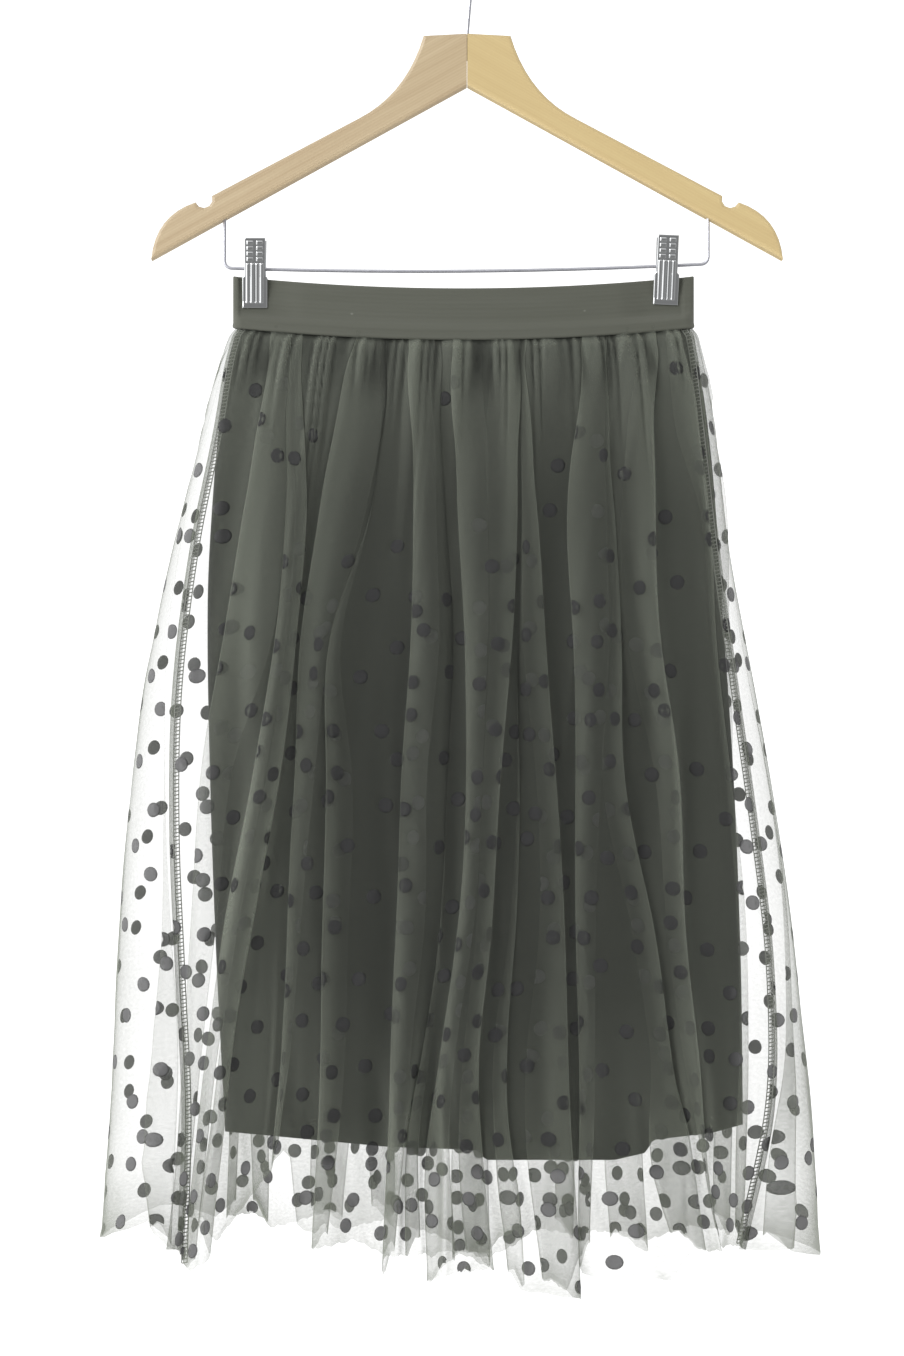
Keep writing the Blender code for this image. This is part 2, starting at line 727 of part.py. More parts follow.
def curve_at(plan, drop, inset):
    """The plan curve of a skirt at a drop, drawn in by an inset."""
    row = {name: along(plan, "drop", name, drop) for name in ("left", "right", "depth", "end")}
    return PlanCurve(row["left"] + inset, row["right"] - inset, row["depth"] - inset, row["end"] - inset)


def fold_lift(folds, x, drop):
    """How far the folds stand out from the plan curve at a place."""
    grow = smooth((drop + FOLD_STARTS_ABOVE) / FOLD_GROWS_OVER)
    lift = 0.0
    for fold in folds:
        stations = [
            {"drop": d, "at": fold["at_%d" % n], "width": fold["width_%d" % n]}
            for n, d in enumerate(FOLD_DROPS, 1)
        ]
        reach = along(stations, "drop", "width", drop) * FOLD_REACH_SHARE + FOLD_REACH_MORE
        away = abs(x - along(stations, "drop", "at", drop)) / reach
        if away < 1:
            lift = max(lift, fold["height"] * grow * math.cos(math.pi / 2 * away) ** 2)
    return lift


def gather_lift(share, gathers, drop):
    """The small gathers under the band, uneven in height, gone a hand's width down."""
    fade = smooth(drop / GATHER_STARTS_BY) * (1 - smooth(drop / GATHER_FADES_BY))
    wave = 0.5 - 0.5 * math.cos(2 * math.pi * gathers * share)
    slow, fast = GATHER_BEATS
    beat = math.sin(slow * share + math.sin(fast * share))
    uneven = GATHER_EVENNESS + (1 - GATHER_EVENNESS) * beat
    return GATHER_LIFT * fade * wave * uneven


def panel_rows(side, rows, columns, hem, hem_drop, plan, inset_at, lift_at, seams_at, wall):
    """Outer and inner rows of a front or back panel, between its two side seams."""
    outer_rows = []
    inner_rows = []
    for row_drop in rows:
        outer = []
        inner = []
        for i in range(columns + 1):
            share = i / columns
            nominal = max(row_drop, 0.0)
            curve = curve_at(plan, nominal, inset_at(row_drop))
            start, stop = seams_at(curve, nominal, side)
            length = start + (stop - start) * share
            spot = curve.at(length)
            from_seam = smooth(min(share, 1 - share) * SEAM_CALM)
            extra = (along(hem, "x", "drop", spot.x) - hem_drop) * from_seam
            drop = row_drop + extra * (nominal / hem_drop) ** HEM_PULL
            curve = curve_at(plan, max(drop, 0.0), inset_at(row_drop))
            start, stop = seams_at(curve, max(drop, 0.0), side)
            gap = GAP / 2
            length = start + gap + (stop - start - 2 * gap) * share
            spot, outward = lifted(curve, length, lift_at, share, drop)
            sag = seam_height(spot.x) - SEAM_Z
            z = SEAM_Z + sag * max(0.0, 1 - nominal / SAG_FADES_BY) - drop
            outer.append((spot.x, spot.y, z))
            inside = spot - outward * wall
            inner.append((inside.x, inside.y, z))
        outer_rows.append(outer)
        inner_rows.append(inner)
    return outer_rows, inner_rows


def lifted(curve, length, lift_at, share, drop):
    """A point of a panel's outer face, and the direction that its wall is measured along."""
    step = 0.6
    points = []
    for shift in (-step, 0.0, step):
        spot = curve.at(length + shift)
        points.append(spot + curve.outward(length + shift) * lift_at(spot.x, share, drop))
    run = (points[2] - points[0]).normalized()
    return points[1], Vector((run.y, -run.x))


def net_seams(curve, drop, side):
    """Lengths round the net's curve between which a panel lies."""
    left = curve.length_to(curve.left + along(NET_PLAN, "drop", "seam_left", drop))
    right = curve.length_to(curve.right - along(NET_PLAN, "drop", "seam_right", drop))
    if side == "front":
        return left, right
    return right, left + 2 * curve.half_round


def lining_seams(curve, drop, side):
    """Lengths round the lining's curve between which a panel lies."""
    if side == "front":
        return 0.0, curve.half_round
    return curve.half_round, 2 * curve.half_round


def net_panel(side, material):
    """A gathered net panel with its folds and ragged hem."""
    folds = FRONT_FOLDS if side == "front" else BACK_FOLDS
    hem = NET_FRONT_HEM if side == "front" else NET_BACK_HEM
    gathers = NET_GATHERS[side]

    def inset_at(row_drop):
        return (BAND_WALL + GAP) * (1 - smooth(row_drop / TUCK_OPENS_BY))

    def lift_at(x, share, drop):
        edge = smooth(min(share, 1 - share) * SEAM_CALM)
        return edge * (gather_lift(share, gathers, drop) + fold_lift(folds, x, drop))

    columns = gathers * COLUMNS_PER_GATHER
    outer, inner = panel_rows(side, NET_ROWS, columns, hem, NET_HEM, NET_PLAN, inset_at, lift_at,
                              net_seams, NET_WALL)
    return sheet_solid("tulle_" + side, outer, inner, material)


def lining_panel(side, material):
    """A plain lining panel with a few soft waves towards its hem."""
    hem = LINING_FRONT_HEM if side == "front" else LINING_BACK_HEM

    def lift_at(x, share, drop):
        edge = smooth(min(share, 1 - share) * SEAM_CALM)
        wave = 0.5 + 0.5 * math.sin(2 * math.pi * (x + LINING_WAVE_START[side]) / LINING_WAVE_LENGTH)
        return edge * LINING_WAVE * wave * smooth(drop / LINING_WAVE_GROWS_OVER)

    outer, inner = panel_rows(side, LINING_ROWS, LINING_COLUMNS[side], hem, LINING_HEM, LINING_PLAN,
                              lambda row_drop: 0.0, lift_at, lining_seams, LINING_WALL)
    return sheet_solid("lining_" + side, outer, inner, material)


def clear_scene():
    """Removes whatever the scene holds."""
    for thing in list(bpy.data.objects):
        bpy.data.objects.remove(thing, do_unlink=True)


def main():
    clear_scene()
    elastic = principled("waistband_elastic", (0.055, 0.06, 0.052), 0.85)
    net = principled("tulle_net", (0.07, 0.075, 0.07), 0.8)
    knit = principled("lining_knit", (0.03, 0.032, 0.028), 0.9)
    pale_wood = principled("varnished_wood_right", (0.66, 0.51, 0.27), 0.45)
    pink_wood = principled("varnished_wood_left", (0.60, 0.44, 0.28), 0.45)
    plated_wire = principled("plated_wire", (0.62, 0.62, 0.64), 0.25, 1.0)
    chrome = principled("chrome_sheet", (0.7, 0.71, 0.72), 0.15, 1.0)
    steel = principled("spring_steel", (0.45, 0.45, 0.46), 0.35, 1.0)
    hook(plated_wire)
    hanger_arm("left", pink_wood)
    hanger_arm("right", pale_wood)
    clip_bar(plated_wire)
    for side in ("left", "right"):
        clip(side, chrome, steel)
    rings = [band_ring(share) for share in (0.0, BAND_OPENS_FROM / 2, BAND_OPENS_FROM, BAND_OPENS_BY, 1.0)]
    tube_solid("waistband", rings, BAND_WALL, elastic)
    for side in ("front", "back"):
        net_panel(side, net)
        lining_panel(side, knit)


main()
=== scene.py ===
"""Looks of a gathered dotted net skirt over a plain lining, clipped to a wooden hanger.

Tables are in millimetres and meshes in metres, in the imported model's frame: +Z is up, the front faces
-Y, and the origin is the inside top of the hook. A drop is a distance below the waistband's lower edge
at the side. Cloth is followed by its length round the skirt's outline in plan, from the left edge.
"""

import math

import bmesh
import bpy
import numpy as np
from mathutils import Matrix, Vector


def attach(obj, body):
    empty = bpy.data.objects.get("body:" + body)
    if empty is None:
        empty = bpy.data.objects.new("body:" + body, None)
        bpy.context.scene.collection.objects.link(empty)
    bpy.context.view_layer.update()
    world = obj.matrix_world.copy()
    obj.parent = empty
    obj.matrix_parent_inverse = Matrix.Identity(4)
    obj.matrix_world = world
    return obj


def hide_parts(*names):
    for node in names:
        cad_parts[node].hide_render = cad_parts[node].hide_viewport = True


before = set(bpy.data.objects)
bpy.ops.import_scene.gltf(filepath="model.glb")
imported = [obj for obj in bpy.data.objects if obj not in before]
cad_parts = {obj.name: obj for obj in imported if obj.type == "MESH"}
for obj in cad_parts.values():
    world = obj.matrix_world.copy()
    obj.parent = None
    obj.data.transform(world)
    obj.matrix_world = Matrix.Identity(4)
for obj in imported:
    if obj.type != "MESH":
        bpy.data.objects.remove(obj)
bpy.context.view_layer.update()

MM = 0.001

# Camera, straight on to the hanger's plane. What bulges towards it is drawn in, so that its outline
# falls where it does in that plane.
CAMERA_BACK = 1600.0
CAMERA_X = -10.6
CAMERA_Z = -525.4
VIEW_HEIGHT = 956.3
SENSOR_HEIGHT = 24.0

# Waistband, clips and bar, as in the solids.
BAND_TOP_Z = -242.1
SEAM_Z = -278.6
BAND_SAG = 8.4
BAND_TOP_DEPTH = 9.0
BAND_TOP_END = 3.0
BAND_WALL = 1.6
BAND_COLUMNS = 360
BAND_ROUND = 650.0
BAND_TALL = 37.0
BAND_PRESSED = 1.85
BAND_PRESS_MARGIN = 1.0
BAND_PRESS_RELEASE = 26.0
BAND_END_RELEASE = 2.2
BAND_OPENS_FROM = 0.62
BAND_OPENS_BY = 0.80
CLIP_AT = {"left": -149.7, "right": 141.2}
CLIP_LEAN = {"left": 0.0, "right": 2.5}
CLIP_TOP = 22.0
CLIP_BOTTOM = -27.4
CLIP_GRIP_HEIGHT = 4.8
CLIP_SPREAD_AT_TOP = 11.0
CLIP_GAP = 0.3
CLIP_SHEET = 1.2
CLIP_HALF_WIDTH = 7.4
CLIP_JAW_HALF_WIDTH = 8.8
CLIP_RELIEF = 0.7
FLUTE_CRESTS = (1.63, 4.88)
FLUTE_HALF_WIDTH = 1.3
FLUTE_ENDS = (-24.4, 4.2)
PAD_ROWS = 4
PAD_START = 5.4
PAD_PITCH = 3.9
PAD_HEIGHT = 2.9
PAD_REACH = (1.0, 5.8)
PAD_EDGE = 0.7
JAW_ROWS = 150
JAW_COLUMNS = 57
JAW_ROUNDING = 0.4
LUG_HEIGHT = 9.0
LUG_WALL = 1.0
LUGS_AT = {"front": 6.0, "back": 4.7}
COIL_RADIUS = 3.4
COIL_LENGTH = 7.0
COIL_WIRE = 0.55
COIL_TURNS = 6.0
BAR_LEFT = -171.0
BAR_RIGHT = 170.0
BAR_LEFT_Z = -236.3
BAR_RIGHT_Z = -233.4
BAR_SAG = 3.6
BAR_WIRE = 2.4

# Cloth below the band: how far down it comes, and how much of it is tucked under. It stands out less
# in a narrow share of its width beside each seam.
NET_DROP = 650.0
LINING_DROP = 570.0
LINING_COLUMNS = 150
LINING_WIDTH = 365.0
TUCK = 5.0
SAG_FADES_BY = 300.0
OUTLINE_STEPS = 240
EVEN_BY_SEAM = 1 / 22
LEVEL_BY_SEAM = 1 / 40

# Layers of a fold lie this far apart at the band, further down and at the hem.
LAYERS_AT_BAND = 0.8
LAYERS_BELOW = 2.4
LAYERS_OPEN_BY = 150.0
LAYERS_AT_HEM = 5.0
WIDE_FOLD = 12.0
LEAST_OVERLAP = 0.2
SHORTEST_CLIMB = 5.0
FOLD_WANDER = 1.6
HEM_SWEEP = 4.5
SIDE_FOLDS_FROM = 180
ROLL_HEIGHT = 1.5
ROLL_AT = 3.0

# Columns of the net, and its seam allowances, which lie inside and look double.
COLUMN_STEP = 1.45
FEWEST_COLUMNS = 7
TURN_COLUMNS = 7
LEAST_STEP = 0.05
SEAM_ALLOWANCE = 5.0
SEAM_DEPTH = {"front": 0.7, "back": 1.5}
SEAM_DENSITY = 2.2

# Gathers and swells, and what the hem does: it rolls, slants in steps and is drawn up under a fold.
GATHERS = {"front": 32, "back": 30}
GATHER_HEIGHT = 5.2
SWELL_SHARE = 0.8
HEM_ROLL = 2.4
HEM_SLANT = 0.45
HEM_SLANT_LEFT = 0.9
SHORTER_UNDER_FOLD = 13.0
# Ripples and creases: how far apart, how high, how fast they drift sideways, and where they start.
SOFT_RIPPLES = ((47.0, 1.7, 0.011, 0.4), (27.0, 1.1, -0.017, 2.1), (15.0, 0.55, 0.023, 4.0))
THIN_CREASES = ((71.0, 4.6, 0.0070, 1.7), (97.0, 5.4, -0.0055, 4.4), (53.0, 3.4, 0.0090, 0.2))

# Small crumples draw this much more cloth into each millimetre of the hem.
CRUMPLED = 0.45
CRUMPLED_FROM = 545.0
CRUMPLED_FULLY = 25.0

# How thick the net looks: thinner in a fold's lower layers; drawn thinner against the light, as painted glare
# of the bright ground; and drawn thinner in the gathers' slits and in the valleys, as painted shade.
VEIL = 0.86
VEIL_WHITE = 0.1
VEIL_ENDS = (540.0, 600.0)
PAINTED_GLARE_THINNING = {"left": 0.6, "right": 0.68}
AT_HEM = {"front": 1.3, "back": 1.0}
EDGE_GREY = {"front": 0.1, "back": 0.4}
STACKED_GREY = 0.8
SLIT_PAINTED_SHADE = 0.85
VALLEY_PAINTED_SHADE = 0.10

# Net over the lining: thicker under the band and just above its hem. It is drawn thicker at the lining's
# sides as painted glare, and thicker and thinner over the gathers as painted light and shade.
THICKER_AT_BAND = 1.2
THICKER_DOWN_TO = 130.0
PAINTED_GLARE_BY_SIDE = {"left": 0.9, "right": 0.45}
THINNER_MIDWAY = 0.15
THICKER_AT_HEM = 0.3
GATHER_PAINTED_LIGHT_AND_SHADE = 1.1

# Dots: a loose repeat that starts below the band, with none where the cloth map is strained.
DOT_PITCH = 35.0
DOT_SEED = 12
DOT_RADIUS = 5.3
DOT_SCATTER = 10.0
DOT_THICK = 0.45
DOTS_FROM = 30.0
DOTS_LOST = 0.8
DOT_MARGIN = 3
MOST_STRAIN = (0.36, 2.6)

# How much a dot covers, also against the light: beside the lining, and below its hem.
FLOCK_COVER = {"front": 0.65, "back": 0.58}
FLOCK_COVER_IN_LIGHT = 0.78
LIGHT_MIDDLE = 5.0
LIGHT_BESIDE = (174.0, 188.0)
LIGHT_BELOW = (-848.0, -860.0)

# Stitches, the slope of the hanger's arms in degrees, and the floor.
STITCH_PITCH = 2.6
STITCH_WIDTH = 3.8
STITCH_THREAD = 0.4
ARM_SLOPE = 29.0
FLOOR_RADIUS = 900.0
FLOOR_Z = -1300.0
FLOOR_SIDES = 96


def table(columns, rows):
    """Rows of numbers as dictionaries with the named columns."""
    names = columns.split()
    return [dict(zip(names, row)) for row in rows]


NET_PLAN = table("drop left right depth end seam_left seam_right", [
    (0, -165.0, 160.0, 11.0, 6.5, 0.8, 0.8),
    (26, -174.0, 165.6, 17.0, 9.0, 3.0, 2.0),
    (72, -186.0, 175.0, 23.0, 13.0, 7.0, 5.5),
    (157, -208.0, 185.0, 30.0, 18.0, 12.0, 6.5),
    (255, -228.0, 203.0, 36.0, 23.0, 20.0, 11.0),
    (354, -240.0, 220.0, 41.0, 28.0, 30.0, 14.0),
    (453, -247.0, 233.0, 46.0, 32.0, 41.0, 16.0),
    (551, -251.5, 243.0, 50.0, 36.0, 50.0, 26.0),
    (650, -258.5, 250.5, 54.0, 39.0, 54.0, 54.0),
])
LINING_PLAN = table("drop left right depth end", [
    (0, -161.8, 156.8, 7.8, 3.3),
    (12, -165.5, 159.5, 9.0, 4.5),
    (26, -169.0, 162.6, 10.5, 6.0),
    (51, -172.8, 167.4, 12.0, 7.0),
    (107, -178.4, 173.7, 14.5, 9.0),
    (192, -182.9, 179.6, 17.5, 11.0),
    (319, -181.2, 188.1, 20.5, 13.0),
    (446, -176.8, 193.0, 23.0, 15.0),
    (566, -170.7, 194.6, 25.0, 16.0),
])

# Swells of the net: where each crest runs at five drops, its width there, and its final height.
SWELL_DROPS = (12.0, 164.0, 319.0, 474.0, 650.0)
SWELL_COLUMNS = "at_1 at_2 at_3 at_4 at_5 width_1 width_2 width_3 width_4 width_5 height"
FRONT_SWELLS = table(SWELL_COLUMNS, [
    (-157, -186, -210, -222, -229, 8, 14, 18, 22, 28, 10),
    (-131, -138, -142, -169, -188, 16, 48, 24, 24, 35, 13),
    (-70, -91, -102, -103, -105, 20, 37, 25, 28, 31, 7),
    (-36, -28, -26, -40, -44, 14, 20, 24, 23, 35, 8),
    (13, 14, 12, -1, -19, 44, 38, 25, 23, 39, 14),
    (39, 42, 55, 63, 66, 8, 14, 16, 16, 28, 6),
    (88, 89, 94, 106, 122, 17, 35, 34, 59, 70, 10),
    (122, 128, 142, 154, 175, 13, 12, 12, 14, 28, 8),
    (147, 172, 197, 214, 226, 10, 16, 17, 18, 28, 9),
])
BACK_SWELLS = table(SWELL_COLUMNS, [
    (-146, -164, -180, -196, -214, 14, 24, 26, 28, 34, 11),
    (-112, -118, -128, -138, -152, 18, 34, 30, 34, 40, 13),
    (-72, -70, -76, -90, -98, 16, 22, 24, 24, 30, 9),
    (-30, -34, -40, -44, -40, 22, 40, 34, 30, 44, 14),
    (8, 6, 4, 8, 14, 12, 18, 20, 24, 30, 9),
    (44, 50, 54, 52, 60, 24, 36, 30, 34, 42, 13),
    (84, 90, 102, 110, 116, 14, 18, 20, 22, 30, 8),
    (118, 128, 142, 158, 168, 20, 32, 30, 34, 40, 12),
    (148, 166, 188, 204, 218, 12, 18, 20, 22, 30, 9),
])

# Laid folds of the net, three layers thick. Each has a sharp outer edge on one side: its place at nine
# drops comes first, then how far the layers overlap there.
FOLD_DROPS = (0.0, 60.0, 130.0, 220.0, 320.0, 420.0, 510.0, 590.0, 680.0)
FOLD_COLUMNS = "edge e1 e2 e3 e4 e5 e6 e7 e8 e9 o1 o2 o3 o4 o5 o6 o7 o8 o9"
FRONT_FOLDS = table(FOLD_COLUMNS, [
    ("left", -138, -146, -158, -171, -188, -195, -199, -205, -216, 13, 18, 30, 35, 21, 18, 13, 10, 9),
    ("left", -125, -126, -128, -135, -150, -171, -183, -192, -204, 1, 3, 7, 8, 9, 11, 9, 9, 9),
    ("right", -116, -116, -112, -120, -132, -148, -164, -173, -183, 4, 6, 8, 8, 9, 11, 9, 9, 9),
    ("left", -78, -92, -104, -118, -121, -126, -130, -132, -135, 18, 32, 32, 21, 14, 10, 7, 6, 4),
    ("left", -57, -59, -70, -96, -99, -102, -102, -105, -109, 0, 0, 1, 8, 18, 18, 17, 14, 10),
    ("left", -41, -40, -38, -39, -47, -50, -53, -56, -59, 16, 16, 16, 20, 18, 20, 14, 11, 8),
    ("left", -18, -17, -15, -10, -13, -20, -32, -44, -47, 0, 0, 0, 0, 0, 2, 6, 9, 11),
    ("left", -10, -10, -7, -1, -1, -7, -19, -32, -33, 20, 23, 21, 16, 11, 11, 11, 18, 20),
    ("right", 37, 37, 35, 31, 24, 17, 8, 13, 22, 20, 23, 20, 16, 12, 11, 11, 18, 20),
    ("right", 38, 37.6, 36.6, 36, 37, 34, 29, 30, 38, 0, 0, 0, 0, 2, 5, 9, 11, 12),
    ("right", 42, 44, 49, 56, 63, 68, 72, 75, 76, 3, 6, 11, 16, 14, 18, 30, 32, 24),
    ("left", 81, 77, 71, 74, 76, 77, 78, 79, 83, 16, 20, 28, 25, 18, 14, 11, 10, 7),
    ("right", 99, 100, 104, 108, 112, 131, 144, 162, 177, 1, 2, 4, 7, 16, 16, 16, 31, 21),
    ("right", 133, 132, 133, 136, 149, 154, 162, 168, 184, 13, 18, 24, 23, 17, 13, 11, 4, 4),
    ("right", 150, 161, 169, 176, 186, 196, 199, 196, 191, 10, 17, 6, 3, 4, 6, 6, 7, 4),
])
BACK_FOLDS = table(FOLD_COLUMNS, [
    ("left", 164, 173, 180, 185, 191, 194, 194, 193, 190, 7, 10, 10, 8, 8, 8, 10, 13, 11),
    ("left", 116, 122, 128, 129, 129, 129, 128, 127, 132, 11, 18, 25, 25, 24, 24, 25, 28, 27),
    ("left", 57, 63, 70, 74, 77, 78, 78, 77, 75, 8, 13, 16, 14, 13, 13, 14, 14, 13),
    ("left", 13, 16, 18, 19, 19, 19, 18, 16, 18, 14, 21, 25, 25, 24, 24, 24, 27, 28),
    ("left", -47, -50, -51, -53, -54, -54, -54, -55, -60, 10, 14, 17, 17, 17, 17, 18, 20, 14),
    ("left", -86, -85, -84, -83, -83, -83, -83, -83, -88, 8, 16, 21, 23, 24, 24, 25, 27, 20),
    ("left", -125, -128, -130, -135, -139, -142, -145, -146, -149, 11, 14, 16, 14, 13, 13, 13, 13, 10),
    ("right", -156, -163, -170, -176, -177, -176, -173, -171, -171, 7, 8, 7, 6, 6, 6, 6, 7, 7),
])
RIGHT_WRAP_FOLDS = table(FOLD_COLUMNS, [
    ("right", 158, 167, 182, 194, 212, 225, 229, 226, 224, 0, 0, 0, 0, 2, 4, 6, 16, 18)])
LEFT_WRAP_FOLDS = table(FOLD_COLUMNS, [
    ("left", -165, -181, -198, -212, -213, -215, -221, -224, -219, 0, 0, 0, 0, 1, 6, 17, 19, 10)])

# Hem drops along the width. The net's raw edge is ragged, and the lining's has two steps in front.
NET_FRONT_HEM = table("x drop", [
    (-214, 640), (-206, 672), (-195, 668), (-184, 655), (-176, 646), (-143, 598), (-129, 580),
    (-124, 586), (-121, 632), (-109, 652), (-91, 648), (-82, 643), (-74, 652), (-61, 670),
    (-55, 655), (-33, 653), (-19, 673), (2, 664), (20, 664), (26, 642), (33, 636), (37, 675),
    (46, 679), (60, 681), (66, 684), (75, 686), (79, 656), (90, 660), (103, 664), (106, 669), (133, 671),
    (138, 652), (150, 650), (176, 651), (191, 645), (200, 643)])
NET_BACK_HEM = table("x drop", [
    (-259, 645), (-240, 631), (-224, 634), (-205, 644), (-171, 640), (-139, 648), (-110, 640), (-83, 652),
    (-55, 640), (-20, 656), (0, 675), (15, 683), (30, 675), (48, 654), (77, 660), (100, 652), (132, 670),
    (160, 648), (195, 655), (224, 648), (250, 655)])
LINING_FRONT_HEM = table("x drop", [
    (-171, 566), (-118, 571), (-54, 577), (8, 579), (13, 586), (60, 586), (104, 586), (126, 581),
    (131, 572), (173, 567), (195, 561)])
LINING_BACK_HEM = table("x drop", [(-171, 566), (-60, 574), (20, 577), (100, 572), (195, 561)])


def smooth(value):
    """Soft step from 0 to 1, for numbers and arrays."""
    value = np.clip(value, 0.0, 1.0)
    return value * value * (3 - 2 * value)


def rise(value, start, full):
    """Soft step that is 0 at one value and 1 at another."""
    return smooth((value - start) / (full - start))


def follow(places, values, at):
    """The value at a place on a smooth curve through a short row of values."""
    at = min(max(at, places[0]), places[-1])
    i = 0
    while i < len(places) - 2 and at > places[i + 1]:
        i += 1
    before, after = max(i - 1, 0), min(i + 2, len(places) - 1)
    span = places[i + 1] - places[i]
    t = (at - places[i]) / span
    slope_here = (values[i + 1] - values[before]) / (places[i + 1] - places[before]) * span
    slope_there = (values[after] - values[i]) / (places[after] - places[i]) * span
    climb = values[i + 1] - values[i]
    curve = 3 * climb - 2 * slope_here - slope_there
    return values[i] + t * (slope_here + t * (curve + t * (slope_here + slope_there - 2 * climb)))


def along(plan, column, drop):
    """A column's value at a drop between the rows of a plan."""
    return follow([row["drop"] for row in plan], [row[column] for row in plan], drop)


def as_seen(points):
    """Points in front of the hanger's plane, drawn in to where the camera sees them in that plane."""
    points = np.array(points, float)
    scale = 1 + np.minimum(points[..., 1], 0.0) / CAMERA_BACK
    points[..., 0] = CAMERA_X + (points[..., 0] - CAMERA_X) * scale
    points[..., 2] = CAMERA_Z + (points[..., 2] - CAMERA_Z) * scale
    return points


def half_depth(x, left, right, depth, end):
    """Half the depth of a flattened ring with round ends, at places across it."""
    middle, half = (left + right) / 2, (right - left) / 2
    across = (x - middle) / half
    to_end = np.clip((half - np.abs(x - middle)) / end, 0, 1)
    return (end + (depth - end) * (1 - across * across)) * np.sqrt(1 - (1 - to_end) ** 2)


class Outline:
    """A skirt's outline in plan at one height, as a ring that starts at its left edge."""

    def __init__(self, plan, drop, inset=0.0):
        left, right, depth, end = (along(plan, name, drop) for name in ("left", "right", "depth", "end"))
        self.left, self.right = left + inset, right - inset
        turn = np.linspace(0, math.pi, OUTLINE_STEPS + 1)
        x = (self.left + self.right) / 2 - (self.right - self.left) / 2 * np.cos(turn)
        y = half_depth(x, self.left, self.right, depth - inset, end - inset)
        self.x, self.y = np.concatenate([x, x[-2::-1]]), np.concatenate([-y, y[-2::-1]])
        steps = np.hypot(np.diff(self.x), np.diff(self.y))
        self.lengths = np.concatenate([[0.0], np.cumsum(steps)])
        self.half, self.whole = self.lengths[OUTLINE_STEPS], self.lengths[-1]
        self.out_x, self.out_y = np.gradient(self.y, self.lengths), -np.gradient(self.x, self.lengths)

    def length_to(self, x):
        """Length along the front from the left edge to a place across the skirt."""
        front = OUTLINE_STEPS + 1
        return float(np.interp(x, self.x[:front], self.lengths[:front]))

    def across(self, lengths):
        """Places across the skirt at lengths round the outline."""
        return np.interp(np.mod(lengths, self.whole), self.lengths, self.x)

    def points(self, lengths, lift):
        """Points at lengths round the outline, moved outward by a lift."""
        lengths = np.mod(lengths, self.whole)
        x, y, out_x, out_y = (
            np.interp(lengths, self.lengths, values) for values in (self.x, self.y, self.out_x, self.out_y))
        size = np.maximum(np.hypot(out_x, out_y), 1e-6)
        return x + out_x / size * lift, y + out_y / size * lift


def band_edge(x, top=False):
    """Height of the waistband's lower or upper edge, which both sag between the clips."""
    left, right = NET_PLAN[0]["left"], NET_PLAN[0]["right"]
    across = np.minimum(1.0, np.abs(2 * x - left - right) / (right - left))
    return (BAND_TOP_Z if top else SEAM_Z) - BAND_SAG * (1 - across * across)


def hem_at(hem, x):
    """A hem's drop at places across the skirt."""
    return np.interp(x, [row["x"] for row in hem], [row["drop"] for row in hem])


def hung(x, y, drop, level):
    """Points of cloth at drops below the band's lower edge, whose sag fades out further down."""
    sag = (band_edge(x) - SEAM_Z) * max(0.0, 1 - level / SAG_FADES_BY)
    return as_seen(np.stack([x, y, SEAM_Z + sag - drop], axis=-1))


def fold_place(fold, drop):
    """Where a fold's sharp edge is at a drop, and how far its layers overlap."""
    edge, overlap = (
        follow(FOLD_DROPS, [fold["%s%d" % (column, n)] for n in range(1, 10)], drop) for column in "eo")
    wander = math.sin(drop * 0.055 + fold["e1"]) * (1 - rise(drop, 0, 150))
    wander += 0.5 * math.sin(drop * 0.023 + fold["e3"])
    at_side = abs(fold["e9"]) >= SIDE_FOLDS_FROM
    sweep = 0.0 if at_side else HEM_SWEEP * math.sin(fold["e1"] * 1.7) * rise(drop, 540, 650)
    return edge + sweep + FOLD_WANDER * wander * rise(drop, 0, 20), max(overlap, LEAST_OVERLAP)


def net_row(side, outline, drop):
    """A net panel's row: where it starts and stops, and its folds as edge and lengths, in order.

    The front runs from the left seam to the right one, and the back goes on round to the left seam.
    """
    whole, to_length = outline.whole, outline.length_to
    left = to_length(outline.left + along(NET_PLAN, "seam_left", drop))
    right = to_length(outline.right - along(NET_PLAN, "seam_right", drop))
    parts = [(FRONT_FOLDS, to_length)]
    if side == "back":
        parts = [(RIGHT_WRAP_FOLDS, to_length), (BACK_FOLDS, lambda x: whole - to_length(x)),
                 (LEFT_WRAP_FOLDS, lambda x: whole + to_length(x))]
    found = []
    for folds, length_at in parts:
        for fold in folds:
            place, overlap = fold_place(fold, drop)
            at = length_at(place)
            low, high = (at, at + overlap) if fold["edge"] == "left" else (at - overlap, at)
            found.append((fold["edge"], low, high))
    return (left, right, found) if side == "front" else (right, whole + left, found)


def column_counts(start, stop, folds):
    """Columns for each run between folds, and for each fold's back layer, even at the band."""
    clear = start
    runs, backs = [], []
    for _, left, right in folds:
        runs.append(max(FEWEST_COLUMNS, round((right - clear) / COLUMN_STEP)))
        backs.append(max(FEWEST_COLUMNS, round((right - left) / COLUMN_STEP)))
        clear = left
    runs.append(max(FEWEST_COLUMNS, round((stop - clear) / COLUMN_STEP)))
    return runs, backs


